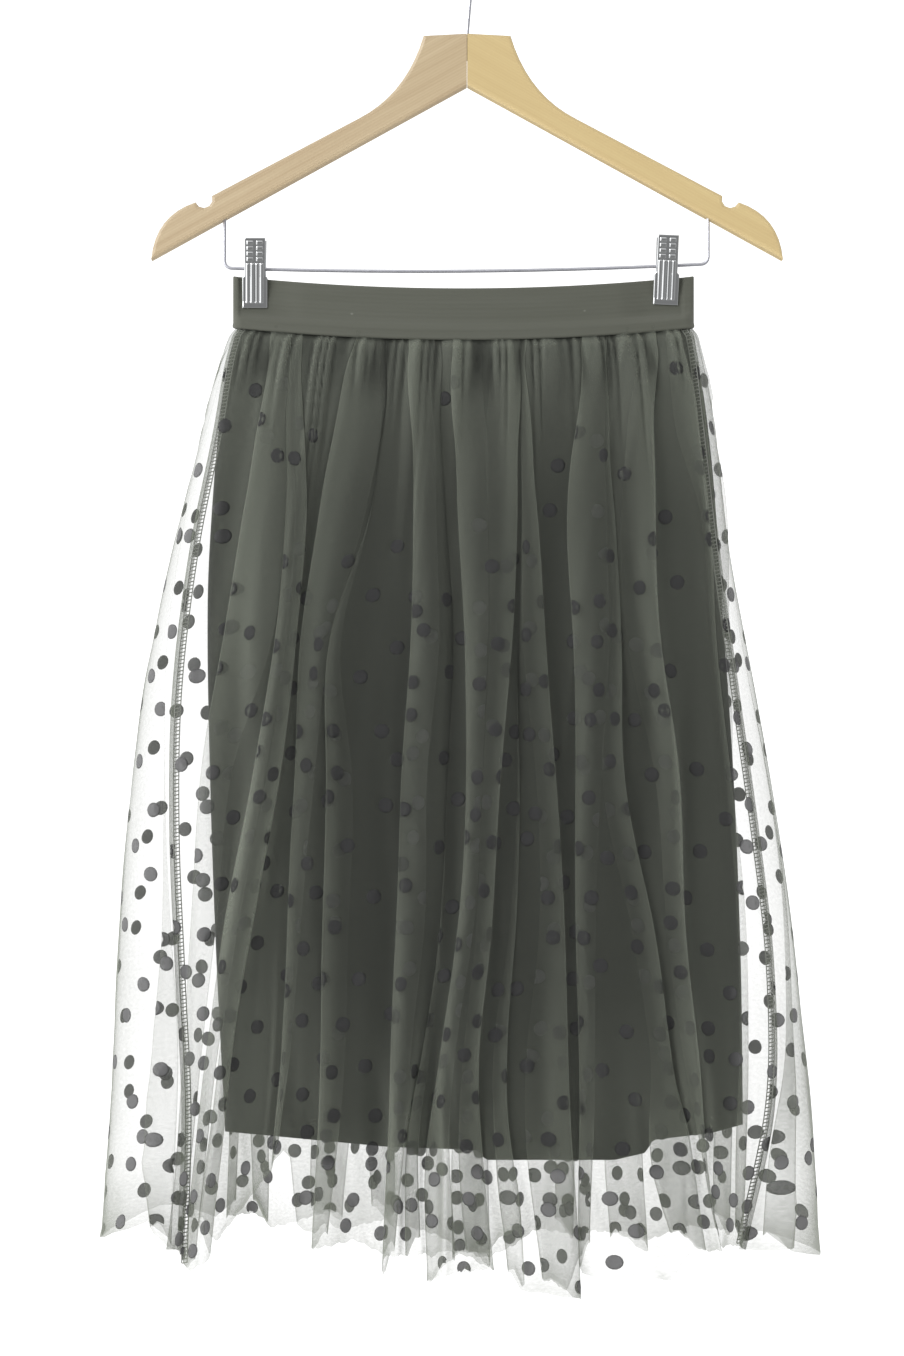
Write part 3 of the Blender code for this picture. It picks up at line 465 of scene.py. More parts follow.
def lay_folds(start, stop, folds, counts, spacing):
    """Columns of a row that lies in three layers at each fold: lengths, lifts, and which are whose.

    Each fold's record gives its edge, its ends, and the columns where its front run starts, where the
    cloth first turns, and where its back run starts.
    """
    lengths, lifts, made = [start], [0.0], []
    clear = start
    turn = np.linspace(0, math.pi, TURN_COLUMNS + 2)[1:-1]

    def run_to(length, lift, ready, columns):
        """Goes on to a place, and changes its lift between the last fold and the next."""
        low, high = clear + 1.0, ready - 1.0
        if high - low < SHORTEST_CLIMB:
            middle = (low + high) / 2
            low, high = middle - SHORTEST_CLIMB / 2, middle + SHORTEST_CLIMB / 2
        places = np.linspace(lengths[-1], length, columns + 1)[1:]
        lifts.extend(lifts[-1] + (lift - lifts[-1]) * rise(places, low, high))
        lengths.extend(places)

    runs, backs = counts
    for (edge, left, right), run, back in zip(folds, runs, backs):
        gap = spacing * rise(right - left, 0, WIDE_FOLD)
        enter, leave = (0.0, 2 * gap) if edge == "left" else (2 * gap, 0.0)
        bend = gap / 2
        before = len(lengths)
        run_to(right - bend, enter, left, run)
        turned = len(lengths)
        lengths.extend(right - bend + bend * np.sin(turn))
        lifts.extend(enter + (gap - enter) * (1 - np.cos(turn)) / 2)
        lengths.extend(np.linspace(right - bend, left + bend, back))
        lifts.extend([gap] * back)
        lengths.extend(left + bend - bend * np.sin(turn))
        lifts.extend(gap + (leave - gap) * (1 - np.cos(turn)) / 2)
        lengths.append(left + bend)
        lifts.append(leave)
        clear = right
        made.append((edge, left, right, before, turned, len(lengths)))
    run_to(stop, 0.0, stop, runs[-1])
    return np.array(lengths), np.array(lifts), made


def folded_run(start, stop, folds, counts, spacing):
    """A row of cloth from start to stop that lies in three layers at each fold.

    Gives each column's length, its lift, how far it lies under a fold, away from the sharp edge, how
    narrow that fold is, and the middle of the run between two sharp edges that the column is in.
    """
    lengths, lifts, made = lay_folds(start, stop, folds, counts, spacing)
    borders = [start] + [left if edge == "left" else right for edge, left, right in folds] + [stop]
    middles = [(here + there) / 2 for here, there in zip(borders, borders[1:])]
    run_middle = np.full(len(lengths), middles[0])
    hidden_by, stacked = np.zeros(len(lengths)), np.zeros(len(lengths))
    for (_, left, right, before, turned, after), here, there in zip(made, middles, middles[1:]):
        run_middle[turned:after] = np.linspace(here, there, after - turned)
        run_middle[after:] = there
        stacked[before:after] = 1 - rise(right - left, 4, 18)
    next_turns = [fold[4] for fold in made[1:]] + [len(lengths)]
    for (edge, left, right, before, turned, after), following in zip(made, next_turns):
        if edge == "left":
            outer, inner = left, right
            hidden, shown = slice(before, after - TURN_COLUMNS - 1), slice(after, following)
        else:
            outer, inner = right, left
            hidden, shown = slice(turned + TURN_COLUMNS, following), slice(before, turned)
        under = np.clip((lengths[hidden] - outer) / (inner - outer), 0, 1)
        hidden_by[hidden] = np.maximum(hidden_by[hidden], smooth(under * 1.25))
        if spacing > 1.0:
            away = np.abs(lengths[shown] - outer) / ROLL_AT
            lifts[shown] += ROLL_HEIGHT * rise(right - left, 0, WIDE_FOLD) * away * np.exp(1 - away)
    return lengths, lifts, hidden_by, stacked, run_middle


def swell(swells, x, drop):
    """How far the swells stand out from the outline."""
    grown = rise(drop, -10, 250)
    lift = np.zeros_like(x)
    for row in swells:
        at, width = (
            follow(SWELL_DROPS, [row["%s_%d" % (column, n)] for n in range(1, 6)], drop)
            for column in ("at", "width"))
        away = np.clip(np.abs(x - at) / (width * 0.62 + 5.0), 0, 1)
        lift = np.maximum(lift, row["height"] * grown * np.cos(math.pi / 2 * away) ** 2)
    return lift


def gathers(share, count, drop):
    """Gathers under the band, uneven in width, height and length, which run out further down."""
    phase = 2 * math.pi * (count * share + 0.55 * np.sin(31 * share) + 0.4 * np.sin(83 * share + 2))
    length = 38 + 14 * np.sin(53 * share + 1.0) + 9 * np.sin(131 * share)
    length += 95 * smooth(np.sin(29 * share + 2.0)) ** 2
    height = GATHER_HEIGHT * (0.7 + 0.3 * np.sin(67 * share + 0.6))
    fade = rise(drop, -3, 6) * (1 - rise(drop, 0, 2 * length))
    fine = 0.22 * np.sin(2 * phase + 1.3) * (1 - rise(drop, 0, 30))
    return height * fade * (np.abs(np.sin(phase / 2)) ** 0.8 + fine)


def ripples(share, width, drop):
    """Long soft ripples and thin creases down the net, which drift sideways and come and go."""
    lift = np.zeros_like(share)
    for spacing, height, drift, start in SOFT_RIPPLES:
        phase = 2 * math.pi * share * width / spacing + 1.3 * np.sin(drop * drift + 9 * share + start)
        come = 0.6 + 0.4 * np.sin(17 * share + drop * 0.012 + start)
        lift += height * come * (1 + np.sin(phase + start))
    lift *= rise(drop, 40, 280)
    for spacing, height, drift, start in THIN_CREASES:
        phase = math.pi * share * width / spacing + 0.8 * np.sin(drop * drift + 13 * share + start)
        come = smooth(0.35 + 0.9 * np.sin(23 * share + drop * 0.009 + start))
        sharp = np.abs(np.sin(phase + start)) ** 60
        lift += height * come * sharp * (0.3 + 0.7 * rise(drop, 420, 600))
    return lift


def net_drops():
    """Rows of the net, close together at the gathers and at the hem."""
    drops = [-TUCK]
    while drops[-1] < NET_DROP - 13:
        drops.append(drops[-1] + min(8.0, 1.8 + 0.075 * max(drops[-1], 0.0)))
    return drops[:-1] + [NET_DROP - above for above in (6.0, 3.4, 1.6, 0.0)]


def net_density(side, x, inside, level, lengths, under_fold, stacked):
    """How thick each column of a row looks, and how fully it lies over the lining."""
    over_lining = rise(inside, -6, 10) * (1 - rise(level, *VEIL_ENDS))
    density = 1 - under_fold * (VEIL_WHITE + (VEIL - VEIL_WHITE) * over_lining)
    at_hem = rise(level, 530, 590) * rise(inside, -30, 10)
    # Painted glare: against the bright ground the net is drawn thinner, so lighter, and more so on the left.
    clear = np.where(x < 0, PAINTED_GLARE_THINNING["left"], PAINTED_GLARE_THINNING["right"])
    against = clear + (AT_HEM[side] - clear) * at_hem * (0.75 + 0.25 * np.sin(lengths * 0.031 + 1))
    against += STACKED_GREY * stacked * rise(level, 420, 570)
    against += EDGE_GREY[side] * rise(level, 600, 640)
    return density * (against + (1 - against) * over_lining), over_lining


def over_lining_gain(from_left, from_right, level, gathered):
    """How much thicker the net looks over the lining, where it is bunched or lies double, with painted glare
    at the lining's sides and painted light and shade on the gathers.
    """
    gain = THICKER_AT_BAND * (1 - rise(level, 0, THICKER_DOWN_TO))
    gain -= THINNER_MIDWAY * rise(level, 180, 300) * (1 - rise(level, 440, 500))
    gain += THICKER_AT_HEM * rise(level, 470, 550)
    # Painted glare: the net is drawn thicker, so lighter, near the lining's sides, more so on the left.
    gain += PAINTED_GLARE_BY_SIDE["left"] * (1 - rise(from_left, 30, 90))
    gain += PAINTED_GLARE_BY_SIDE["right"] * (1 - rise(from_right, 30, 90))
    # Painted light and shade on the gathers: crests are drawn thicker, so lighter, and valleys thinner, so
    # darker.
    return gain + GATHER_PAINTED_LIGHT_AND_SHADE * (gathered - 0.55) * (1 - rise(level, 0, 110))


def net_grid(side):
    """Points of a net panel as rows of columns, in millimetres, with each point's drop and density."""
    swells, hem = (FRONT_SWELLS, NET_FRONT_HEM) if side == "front" else (BACK_SWELLS, NET_BACK_HEM)
    turned_in = np.array([1.0, 0.55, 0.1]) * (SEAM_ALLOWANCE if side == "front" else -SEAM_ALLOWANCE)
    under = np.array([-1.0, -1.0, -0.5]) * SEAM_DEPTH[side]
    allowance = np.array([0, 1, 2, -3, -2, -1])
    counts = column_counts(*net_row(side, Outline(NET_PLAN, 0.0), 0.0))
    rows, drops, densities = [], [], []
    for nominal in net_drops():
        level = max(nominal, 0.0)
        outline = Outline(NET_PLAN, level, (BAND_WALL + 0.5) * (1 - rise(nominal, -1, 6)))
        start, stop, folds = net_row(side, outline, level)
        spacing = LAYERS_AT_BAND + (LAYERS_BELOW - LAYERS_AT_BAND) * rise(level, 0, LAYERS_OPEN_BY)
        spacing += (LAYERS_AT_HEM - LAYERS_BELOW) * rise(level, 480, 630)
        lengths, lifts, under_fold, stacked, run_middle = folded_run(start, stop, folds, counts, spacing)
        lengths = np.concatenate([start + turned_in, lengths, stop - turned_in[::-1]])
        lifts = np.concatenate([under, lifts, under[::-1]])
        under_fold, stacked = np.pad(under_fold, 3), np.pad(stacked, 3)
        run_middle = np.pad(run_middle, 3, "edge")

        # How thick the net looks. The three columns of each seam allowance lie inside, and double.
        x = outline.across(lengths)
        from_left = x - along(LINING_PLAN, "left", level)
        from_right = along(LINING_PLAN, "right", level) - x
        inside = np.minimum(from_left, from_right)
        density, full = net_density(side, x, inside, level, lengths, under_fold, stacked)
        density[allowance], full[allowance] = SEAM_DENSITY, 0.0
        share = np.clip((lengths - start) / (stop - start), 0, 1)
        gathered = gathers(share, GATHERS[side], nominal)
        swelling = swell(swells, x, level)
        density *= 1 + full * over_lining_gain(from_left, from_right, level, gathered / GATHER_HEIGHT)
        # Painted shade: the net is drawn clearer in the slits between gathers under the band, and thinner in
        # the valleys between swells, so that the dark lining shows.
        slit_shade = (1 - rise(level, 12, 52)) * (1 - rise(gathered, 0, GATHER_HEIGHT / 2))
        density *= 1 - SLIT_PAINTED_SHADE * full * slit_shade
        density *= 1 - VALLEY_PAINTED_SHADE * full * (1 - rise(swelling, 0, 6)) * rise(level, 60, 210)

        # How far it stands out: gathers, swells and ripples, and a hem that curls and rolls.
        from_seam = np.minimum(share, 1 - share)
        to_edge = np.minimum(x - outline.left, outline.right - x)
        soft = gathered + SWELL_SHARE * swelling
        soft += ripples(share, stop - start, level) * smooth(to_edge / 25 + 0.15)
        curl = rise(level, 590, 650) ** 2 * (2.4 * np.sin(lengths * 0.043 + 1) + 1.8 * np.sin(lengths * 0.11))
        steep = np.abs(hem_at(hem, x + 2) - hem_at(hem, x - 2)) / 4
        rolled = rise(level, 643, 648) * smooth((steep - 0.5) / 1.2 + 0.4 * np.sin(lengths * 0.057))
        edge_line = rise(level, 641, 646) * smooth(0.45 + 0.9 * np.sin(lengths * 0.037 + 2.2))
        density += rolled + 0.8 * edge_line * (1 - rolled)
        stands = lifts + soft * rise(from_seam, 0, EVEN_BY_SEAM) + curl * rise(to_edge, 0, 35)
        x, y = outline.points(lengths, stands + HEM_ROLL * rolled)

        # How far down it comes: a ragged hem, whose steps slant to one side within each fold.
        middle = outline.across(run_middle)
        slant = HEM_SLANT + (HEM_SLANT_LEFT - HEM_SLANT) * rise(-x, 110, 125) * rise(x, -185, -175)
        ragged = hem_at(hem, middle + slant * (x - middle)) - NET_DROP
        nicks = 0.7 * np.sin(lengths * 0.71) + 0.4 * np.sin(lengths * 1.9 + 1)
        nicks -= SHORTER_UNDER_FOLD * under_fold * rise(level, 400, 650)
        drop = nominal + (ragged + nicks) * (level / NET_DROP) ** 4 * rise(from_seam, 0, LEVEL_BY_SEAM)
        rows.append(hung(x, y, drop, level))
        drops.append(drop)
        densities.append(density)
    return np.array(rows), np.array(drops), np.array(densities)


def grid_faces(rows, columns, closed=False):
    """Four-cornered faces of a grid, facing outward. A closed grid goes round both ways."""
    down, along_row = (rows, columns) if closed else (rows - 1, columns - 1)
    j, i = np.meshgrid(np.arange(down), np.arange(along_row), indexing="ij")
    below, beside = (j + 1) % rows * columns, (i + 1) % columns
    corners = (j * columns + i, below + i, below + beside, j * columns + beside)
    return np.stack([corner.ravel() for corner in corners], axis=-1)


def mesh_object(name, points, faces, made_of):
    """A smooth mesh from points in millimetres."""
    mesh = bpy.data.meshes.new(name)
    points = np.asarray(points, float).reshape(-1, 3) * MM
    mesh.from_pydata(points.tolist(), [], [tuple(int(corner) for corner in face) for face in faces])
    mesh.shade_smooth()
    mesh.materials.append(made_of)
    mesh.update()
    piece = bpy.data.objects.new(name, mesh)
    bpy.context.scene.collection.objects.link(piece)
    return piece


def cloth_object(name, grid, across, down, made_of, closed=False):
    """A grid of cloth with a UV map named cloth, in metres: along the cloth's width, and down it."""
    piece = mesh_object(name, grid, grid_faces(*grid.shape[:2], closed), made_of)
    corners = np.zeros(len(piece.data.loops), np.int32)
    piece.data.loops.foreach_get("vertex_index", corners)
    across, down = (np.broadcast_to(values, grid.shape[:2]).ravel() for values in (across, down))
    places = np.stack([across, down], axis=-1)[corners] * MM
    layer = piece.data.uv_layers.new(name="cloth")
    layer.uv.foreach_set("vector", places.astype(np.float32).ravel())
    return piece


def crumpled(drops):
    """Cloth that small crumples take up above each drop, and the cloth in a millimetre there."""
    past = np.maximum(drops - CRUMPLED_FROM, 0.0)
    share = np.clip(past / CRUMPLED_FULLY, 0.0, 1.0)
    taken = CRUMPLED_FULLY * (share ** 3 - share ** 4 / 2) + np.maximum(past - CRUMPLED_FULLY, 0.0)
    return CRUMPLED * taken, 1 + CRUMPLED * smooth(share)


def net_panel(side, made_of):
    """One net panel as a single thin sheet, with its cloth map and how much it is drawn together."""
    grid, drops, densities = net_grid(side)
    steps = np.linalg.norm(np.diff(grid, axis=1), axis=-1)
    usual = np.maximum(steps[20:].mean(axis=0), LEAST_STEP)
    across = np.concatenate([[0.0], np.cumsum(usual)])
    taken, drawn_up = crumpled(drops)
    down = drops + TUCK + taken
    piece = cloth_object("net_" + side, grid, across, down, made_of)
    local = np.zeros_like(drops)
    local[:, 1:-1] = (across[2:] - across[:-2]) / np.maximum(steps[:, 1:] + steps[:, :-1], LEAST_STEP)
    local[:, 0], local[:, -1] = local[:, 1], local[:, -2]
    # Dots are left out where the cloth's map is strained, and many are lost among the gathers.
    looser = 1 + 0.35 * rise(drops, 530, 570)
    strained = (local > MOST_STRAIN[1] * looser) | (local < MOST_STRAIN[0] / looser)
    near = np.stack([np.convolve(row, np.ones(DOT_MARGIN), "same") for row in strained.astype(float)])
    gathered = (1 - rise(np.abs(grid[..., 0]), 160, 170)) * (1 - rise(drops, 100, 260))
    for label, values in (
        ("spread", np.clip(local, 0.7, 1.3)), ("drawn_up", drawn_up), ("layered", densities),
        ("keeps_dot", (near < 0.5) * (1 - DOTS_LOST * gathered)),
    ):
        layer = piece.data.attributes.new(label, "FLOAT", "POINT")
        layer.data.foreach_set("value", values.astype(np.float32).ravel())
    return piece, across[-1], float(drops.max() + TUCK), float(down.max()), grid


# Materials. Each function adds its nodes to a tree and returns the one that gives the surface.

# Bands of a wave texture at scale 1 lie this many metres apart.
WAVE_BAND = math.pi / 10


def linear(code):
    """An sRGB hex colour as linear numbers."""
    channels = [int(code[first:first + 2], 16) / 255 for first in (1, 3, 5)]
    bright = [level / 12.92 if level <= 0.04045 else ((level + 0.055) / 1.055) ** 2.4 for level in channels]
    return (*bright, 1.0)


def per_metre(size):
    """A pattern's scale, from the size of what repeats in millimetres."""
    return 1 / (size * MM)


def add(tree, kind, values=None, **settings):
    """Adds a node with its settings. Its inputs, by name or number, get numbers, sockets or nodes."""
    node = tree.nodes.new(kind)
    for name, setting in settings.items():
        setattr(node, name, setting)
    for key, value in (values or {}).items():
        named = [socket for socket in node.inputs if socket.name == key and socket.enabled]
        entry = named[0] if named else node.inputs[key]
        if isinstance(value, bpy.types.Node):
            value = next(socket for socket in value.outputs if socket.enabled)
        if isinstance(value, bpy.types.NodeSocket):
            tree.links.new(value, entry)
        else:
            entry.default_value = value
    return node


def material(name, surface, *choices):
    """A node material whose surface is made by one of the functions below."""
    made = bpy.data.materials.new(name)
    made.use_nodes = True
    made.node_tree.nodes.clear()
    add(made.node_tree, "ShaderNodeOutputMaterial", {"Surface": surface(made.node_tree, *choices)})
    return made


def tulle(tree):
    """Nylon tulle: fine hexagonal net that is almost clear alone and turns grey where layers stack. Its black
    thread is drawn grey, as painted glare.
    """
    place = add(tree, "ShaderNodeUVMap", uv_map="cloth")
    # Real mesh is about 1 mm. It is drawn at 2.6 mm, because 1 mm falls under a pixel.
    cells = add(tree, "ShaderNodeTexNoise", {"Vector": place, "Scale": per_metre(2.564), "Detail": 1.0})
    threads = add(tree, "ShaderNodeMapRange", {
        "Value": cells, "From Min": 0.3, "From Max": 0.7, "To Min": 0.85, "To Max": 1.15})
    laid = add(tree, "ShaderNodeAttribute", attribute_name="layered")
    cover = add(tree, "ShaderNodeMath", {0: threads, 1: laid.outputs["Fac"]}, operation="MULTIPLY")
    # A net seen at a slant has more thread in the way: the light let through is a power of its slant.
    slant = add(tree, "ShaderNodeLayerWeight", {"Blend": 0.5})
    cosine = add(tree, "ShaderNodeMath", {0: 1.02, 1: slant.outputs["Facing"]}, operation="SUBTRACT")
    depth = add(tree, "ShaderNodeMath", {0: cover, 1: cosine}, operation="DIVIDE")
    deepest = add(tree, "ShaderNodeMath", {0: depth, 1: 5.0}, operation="MINIMUM")
    through = add(tree, "ShaderNodeMath", {0: 0.8, 1: deepest}, operation="POWER")
    solid = add(tree, "ShaderNodeMath", {0: 1.0, 1: through}, operation="SUBTRACT")
    # Painted glare: the black nylon thread is drawn light grey, as the bright ground's glare lifts it.
    grey = linear("#8b9084")
    thread = add(tree, "ShaderNodeBsdfPrincipled", {"Base Color": grey, "Roughness": 0.85, "IOR": 1.53})
    glow = add(tree, "ShaderNodeBsdfTranslucent", {"Color": grey})
    lit = add(tree, "ShaderNodeMixShader", {0: 0.3, 1: thread, 2: glow})
    clear = add(tree, "ShaderNodeBsdfTransparent")
    return add(tree, "ShaderNodeMixShader", {0: solid, 1: clear, 2: lit})


def flock(tree, side):
    """Flocked dots: short nylon fibres, matt and dark, that let a trace of light through their base.

    The back panel's dots stand nearer the bright ground, so they let more of it through. Beside and
    below the lining they are drawn greyer and closer, because the ground's glare lifts them all alike.
    """
    place = add(tree, "ShaderNodeTexCoord").outputs["Object"]
    fuzz = add(tree, "ShaderNodeTexNoise", {"Vector": place, "Scale": per_metre(1.1111), "Detail": 2.0})
    tone = add(tree, "ShaderNodeMapRange", {"Value": fuzz, "From Min": 0.3, "From Max": 0.7})
    colour = add(tree, "ShaderNodeMix", {
        "Factor": tone, "A": linear("#313132"), "B": linear("#3f3f41")}, data_type="RGBA")
    bump = add(tree, "ShaderNodeBump", {"Height": fuzz, "Strength": 0.35, "Distance": 0.0002})
    at = add(tree, "ShaderNodeSeparateXYZ", {0: place}).outputs
    across = add(tree, "ShaderNodeMath", {0: at["X"], 1: LIGHT_MIDDLE * MM}, operation="SUBTRACT")
    out = add(tree, "ShaderNodeMath", {0: across}, operation="ABSOLUTE")
    beside, below = (
        add(tree, "ShaderNodeMapRange", {"Value": value, "From Min": start * MM, "From Max": stop * MM})
        for value, (start, stop) in ((out, LIGHT_BESIDE), (at["Z"], LIGHT_BELOW)))
    in_light = add(tree, "ShaderNodeMath", {0: beside, 1: below}, operation="MAXIMUM")
    cover = add(tree, "ShaderNodeMapRange", {
        "Value": in_light, "To Min": FLOCK_COVER[side], "To Max": FLOCK_COVER_IN_LIGHT})
    lifted = add(tree, "ShaderNodeMix", {
        "Factor": in_light, "A": colour, "B": linear("#737374")}, data_type="RGBA")
    return add(tree, "ShaderNodeBsdfPrincipled", {
        "Base Color": lifted, "Alpha": cover, "Normal": bump, "Roughness": 0.95, "IOR": 1.53})


def knit(tree):
    """Polyester knit: black and matt, with an uneven wale down it."""
    place = add(tree, "ShaderNodeUVMap", uv_map="cloth")
    # Real wales are 1 mm apart. They are drawn at about 3 mm and broken up, so that they don't beat.
    drawn = add(tree, "ShaderNodeMapping", {"Vector": place, "Scale": (per_metre(3.03), per_metre(40), 1.0)})
    wales = add(tree, "ShaderNodeTexNoise", {"Vector": drawn, "Scale": 1.0, "Detail": 2.0})
    cloudy = add(tree, "ShaderNodeTexNoise", {"Vector": place, "Scale": per_metre(71.43), "Detail": 4.0})
    colour = add(tree, "ShaderNodeMix", {
        "Factor": cloudy, "A": linear("#141513"), "B": linear("#1d1e1b")}, data_type="RGBA")
    bump = add(tree, "ShaderNodeBump", {"Height": wales, "Strength": 0.15, "Distance": 0.0003})
    return add(tree, "ShaderNodeBsdfPrincipled", {
        "Base Color": colour, "Normal": bump, "Roughness": 0.92, "IOR": 1.5, "Sheen Weight": 0.08})


def elastic(tree):
    """Woven elastic: dense grey-black ribs along the band, with specks of lint."""
    place = add(tree, "ShaderNodeUVMap", uv_map="cloth")
    # Real ribs are 0.8 mm apart. They are drawn at 3.1 mm, so that each covers a few pixels.
    ribs = add(tree, "ShaderNodeTexWave", {
        "Vector": place, "Scale": per_metre(3.1416) * WAVE_BAND, "Distortion": 0.6, "Detail": 2.0,
    }, bands_direction="Y")
    streaks = add(tree, "ShaderNodeMapping", {
        "Vector": place, "Scale": (per_metre(83.33), per_metre(6.25), 1.0)})
    mottle = add(tree, "ShaderNodeTexNoise", {"Vector": streaks, "Scale": 1.0, "Detail": 5.0})
    specks = add(tree, "ShaderNodeTexVoronoi", {"Vector": place, "Scale": per_metre(19.2308)})
    lint = add(tree, "ShaderNodeMapRange", {
        "Value": specks, "From Min": 0.02, "From Max": 0.055, "To Min": 0.5, "To Max": 0.0})
    cloth = add(tree, "ShaderNodeMix", {
        "Factor": mottle, "A": linear("#515349"), "B": linear("#5b5d54")}, data_type="RGBA")
    colour = add(tree, "ShaderNodeMix", {
        "Factor": lint, "A": cloth, "B": linear("#90938a")}, data_type="RGBA")
    bump = add(tree, "ShaderNodeBump", {"Height": ribs.outputs["Fac"], "Strength": 0.22, "Distance": 0.0003})
    return add(tree, "ShaderNodeBsdfPrincipled", {
        "Base Color": colour, "Normal": bump, "Roughness": 0.8, "IOR": 1.5, "Sheen Weight": 0.15})


def spun_thread(tree):
    """Overlock thread: spun polyester, grey against the light."""
    place = add(tree, "ShaderNodeTexCoord").outputs["Object"]
    twist = add(tree, "ShaderNodeTexNoise", {"Vector": place, "Scale": per_metre(0.66667)})
    colour = add(tree, "ShaderNodeMix", {
        "Factor": twist, "A": linear("#747670"), "B": linear("#93958f")}, data_type="RGBA")
    return add(tree, "ShaderNodeBsdfPrincipled", {"Base Color": colour, "Roughness": 0.8, "IOR": 1.55})


def beech(tree, light, dark, turn):
    """Varnished beech: straight grain along the arm, small flecks, and a satin coat."""
    place = add(tree, "ShaderNodeTexCoord").outputs["Object"]
    laid = add(tree, "ShaderNodeMapping", {"Vector": place, "Rotation": (0.0, math.radians(turn), 0.0)})
    # Grain lines are 125 mm long and 5 to 9 mm wide, with rings 2 mm apart in them.
    long = add(tree, "ShaderNodeMapping", {
        "Vector": laid, "Scale": (per_metre(125), per_metre(9.091), per_metre(4.762))})
    grain = add(tree, "ShaderNodeTexNoise", {"Vector": long, "Scale": 1.0, "Detail": 6.0, "Distortion": 0.6})
    rings = add(tree, "ShaderNodeTexWave", {
        "Vector": long, "Scale": 0.8, "Distortion": 4.5, "Detail": 3.0}, bands_direction="Z")
    # Flecks are 6 mm long and about 1 mm wide.
    short = add(tree, "ShaderNodeMapping", {
        "Vector": laid, "Scale": (per_metre(5.5556), per_metre(1.1111), per_metre(0.66667))})
    flecks = add(tree, "ShaderNodeTexVoronoi", {"Vector": short, "Scale": 1.0})
    fleck = add(tree, "ShaderNodeMapRange", {
        "Value": flecks, "From Min": 0.05, "From Max": 0.3, "To Min": 0.12, "To Max": 0.0})
    ringed = add(tree, "ShaderNodeMath", {
        0: rings.outputs["Fac"], 1: 0.14, 2: fleck}, operation="MULTIPLY_ADD")
    share = add(tree, "ShaderNodeMath", {0: grain, 1: 0.85, 2: ringed}, operation="MULTIPLY_ADD")
    colour = add(tree, "ShaderNodeMix", {
        "Factor": share, "A": linear(light), "B": linear(dark)}, data_type="RGBA")
    bump = add(tree, "ShaderNodeBump", {"Height": grain, "Strength": 0.05, "Distance": 0.0003})
    return add(tree, "ShaderNodeBsdfPrincipled", {
        "Base Color": colour, "Normal": bump, "Roughness": 0.42, "IOR": 1.5,
        "Coat Weight": 0.35, "Coat Roughness": 0.25})


def plated_steel(tree, tint, roughness, scratch, metallic=1.0):
    """Bright plated steel: mirror-like, with a faint uneven polish."""
    place = add(tree, "ShaderNodeTexCoord").outputs["Object"]
    worn = add(tree, "ShaderNodeTexNoise", {"Vector": place, "Scale": per_metre(scratch), "Detail": 4.0})
    dull = add(tree, "ShaderNodeMapRange", {
        "Value": worn, "From Min": 0.3, "From Max": 0.7,
        "To Min": roughness * 0.7, "To Max": roughness * 1.4})
    return add(tree, "ShaderNodeBsdfPrincipled", {
        "Base Color": linear(tint), "Metallic": metallic, "Roughness": dull})


# Lining and waistband


def lining_panel(side, made_of):
    """A lining panel: one thin sheet whose hem is turned up inside."""
    hem = LINING_FRONT_HEM if side == "front" else LINING_BACK_HEM
    down_to_hem = [-TUCK, -1.0, 1.5, 5.0, *np.linspace(12, LINING_DROP, 62)]
    turned_up = [(LINING_DROP + past, -inward) for past, inward in (
        (0.6, 0.35), (0.0, 0.75), (-8.0, 0.8), (-18.0, 0.8))]
    share = np.linspace(0, 1, LINING_COLUMNS + 1)
    rows, downs = [], []
    for nominal, inward in [(drop, 0.0) for drop in down_to_hem] + turned_up:
        level = max(nominal, 0.0)
        outline = Outline(LINING_PLAN, level)
        lengths = outline.half * share
        if side == "back":
            lengths = outline.half + (outline.whole - outline.half) * share
        x = outline.across(lengths)
        wave = 1.1 * np.sin(x * 0.047 + 1 + level * 0.002) + 0.5 * np.sin(x * 0.11 - level * 0.004)
        from_seam = np.minimum(share, 1 - share)
        stands = (1.0 + wave) * rise(from_seam, 0, EVEN_BY_SEAM) * rise(level, 0, 300)
        x, y = outline.points(lengths, stands + inward)
        drop = nominal + (hem_at(hem, x) - LINING_DROP) * (level / LINING_DROP) ** 6
        rows.append(hung(x, y, drop, level))
        downs.append(drop + TUCK)
    across = np.linspace(0, LINING_WIDTH, LINING_COLUMNS + 1)
    return cloth_object("lining_" + side + "_knit", np.array(rows), across, np.array(downs), made_of)


def pressed_share(x, opened):
    """How fully the clips press the band together at places across it, where it isn't opened."""
    grip = np.zeros_like(x)
    reach = CLIP_JAW_HALF_WIDTH + BAND_PRESS_MARGIN
    for side, middle in CLIP_AT.items():
        outward = (x - middle) * (1 if side == "right" else -1)
        near_end = 1 - rise(outward, reach, reach + BAND_END_RELEASE)
        inner = 1 - rise(-outward, reach, reach + BAND_PRESS_RELEASE)
        grip = np.maximum(grip, np.where(outward > reach, near_end, inner))
    return grip * (1 - opened)


def band_row(share, inward):
    """One closed row of the waistband at a share of the way down, drawn in from its outer face."""
    opened = rise(share, BAND_OPENS_FROM, BAND_OPENS_BY)
    left, right, open_depth, open_end = (NET_PLAN[0][name] for name in ("left", "right", "depth", "end"))
    depth = BAND_TOP_DEPTH + (open_depth - BAND_TOP_DEPTH) * opened
    end = BAND_TOP_END + (open_end - BAND_TOP_END) * opened
    turn = np.linspace(0, 2 * math.pi, BAND_COLUMNS, endpoint=False)
    x = (left + right) / 2 - (right - left) / 2 * np.cos(turn)
    y = half_depth(x, left, right, depth, end)
    y += (np.minimum(y, BAND_PRESSED) - y) * pressed_share(x, opened)
    y = np.where(turn <= math.pi, -y, y)
    run_x, run_y = np.roll(x, -1) - np.roll(x, 1), np.roll(y, -1) - np.roll(y, 1)
    size = np.maximum(np.hypot(run_x, run_y), 1e-6)
    top, bottom = band_edge(x, top=True), band_edge(x)
    z = top + (bottom - top) * share
    return as_seen(np.stack([x - run_y / size * inward, y + run_x / size * inward, z], axis=-1))


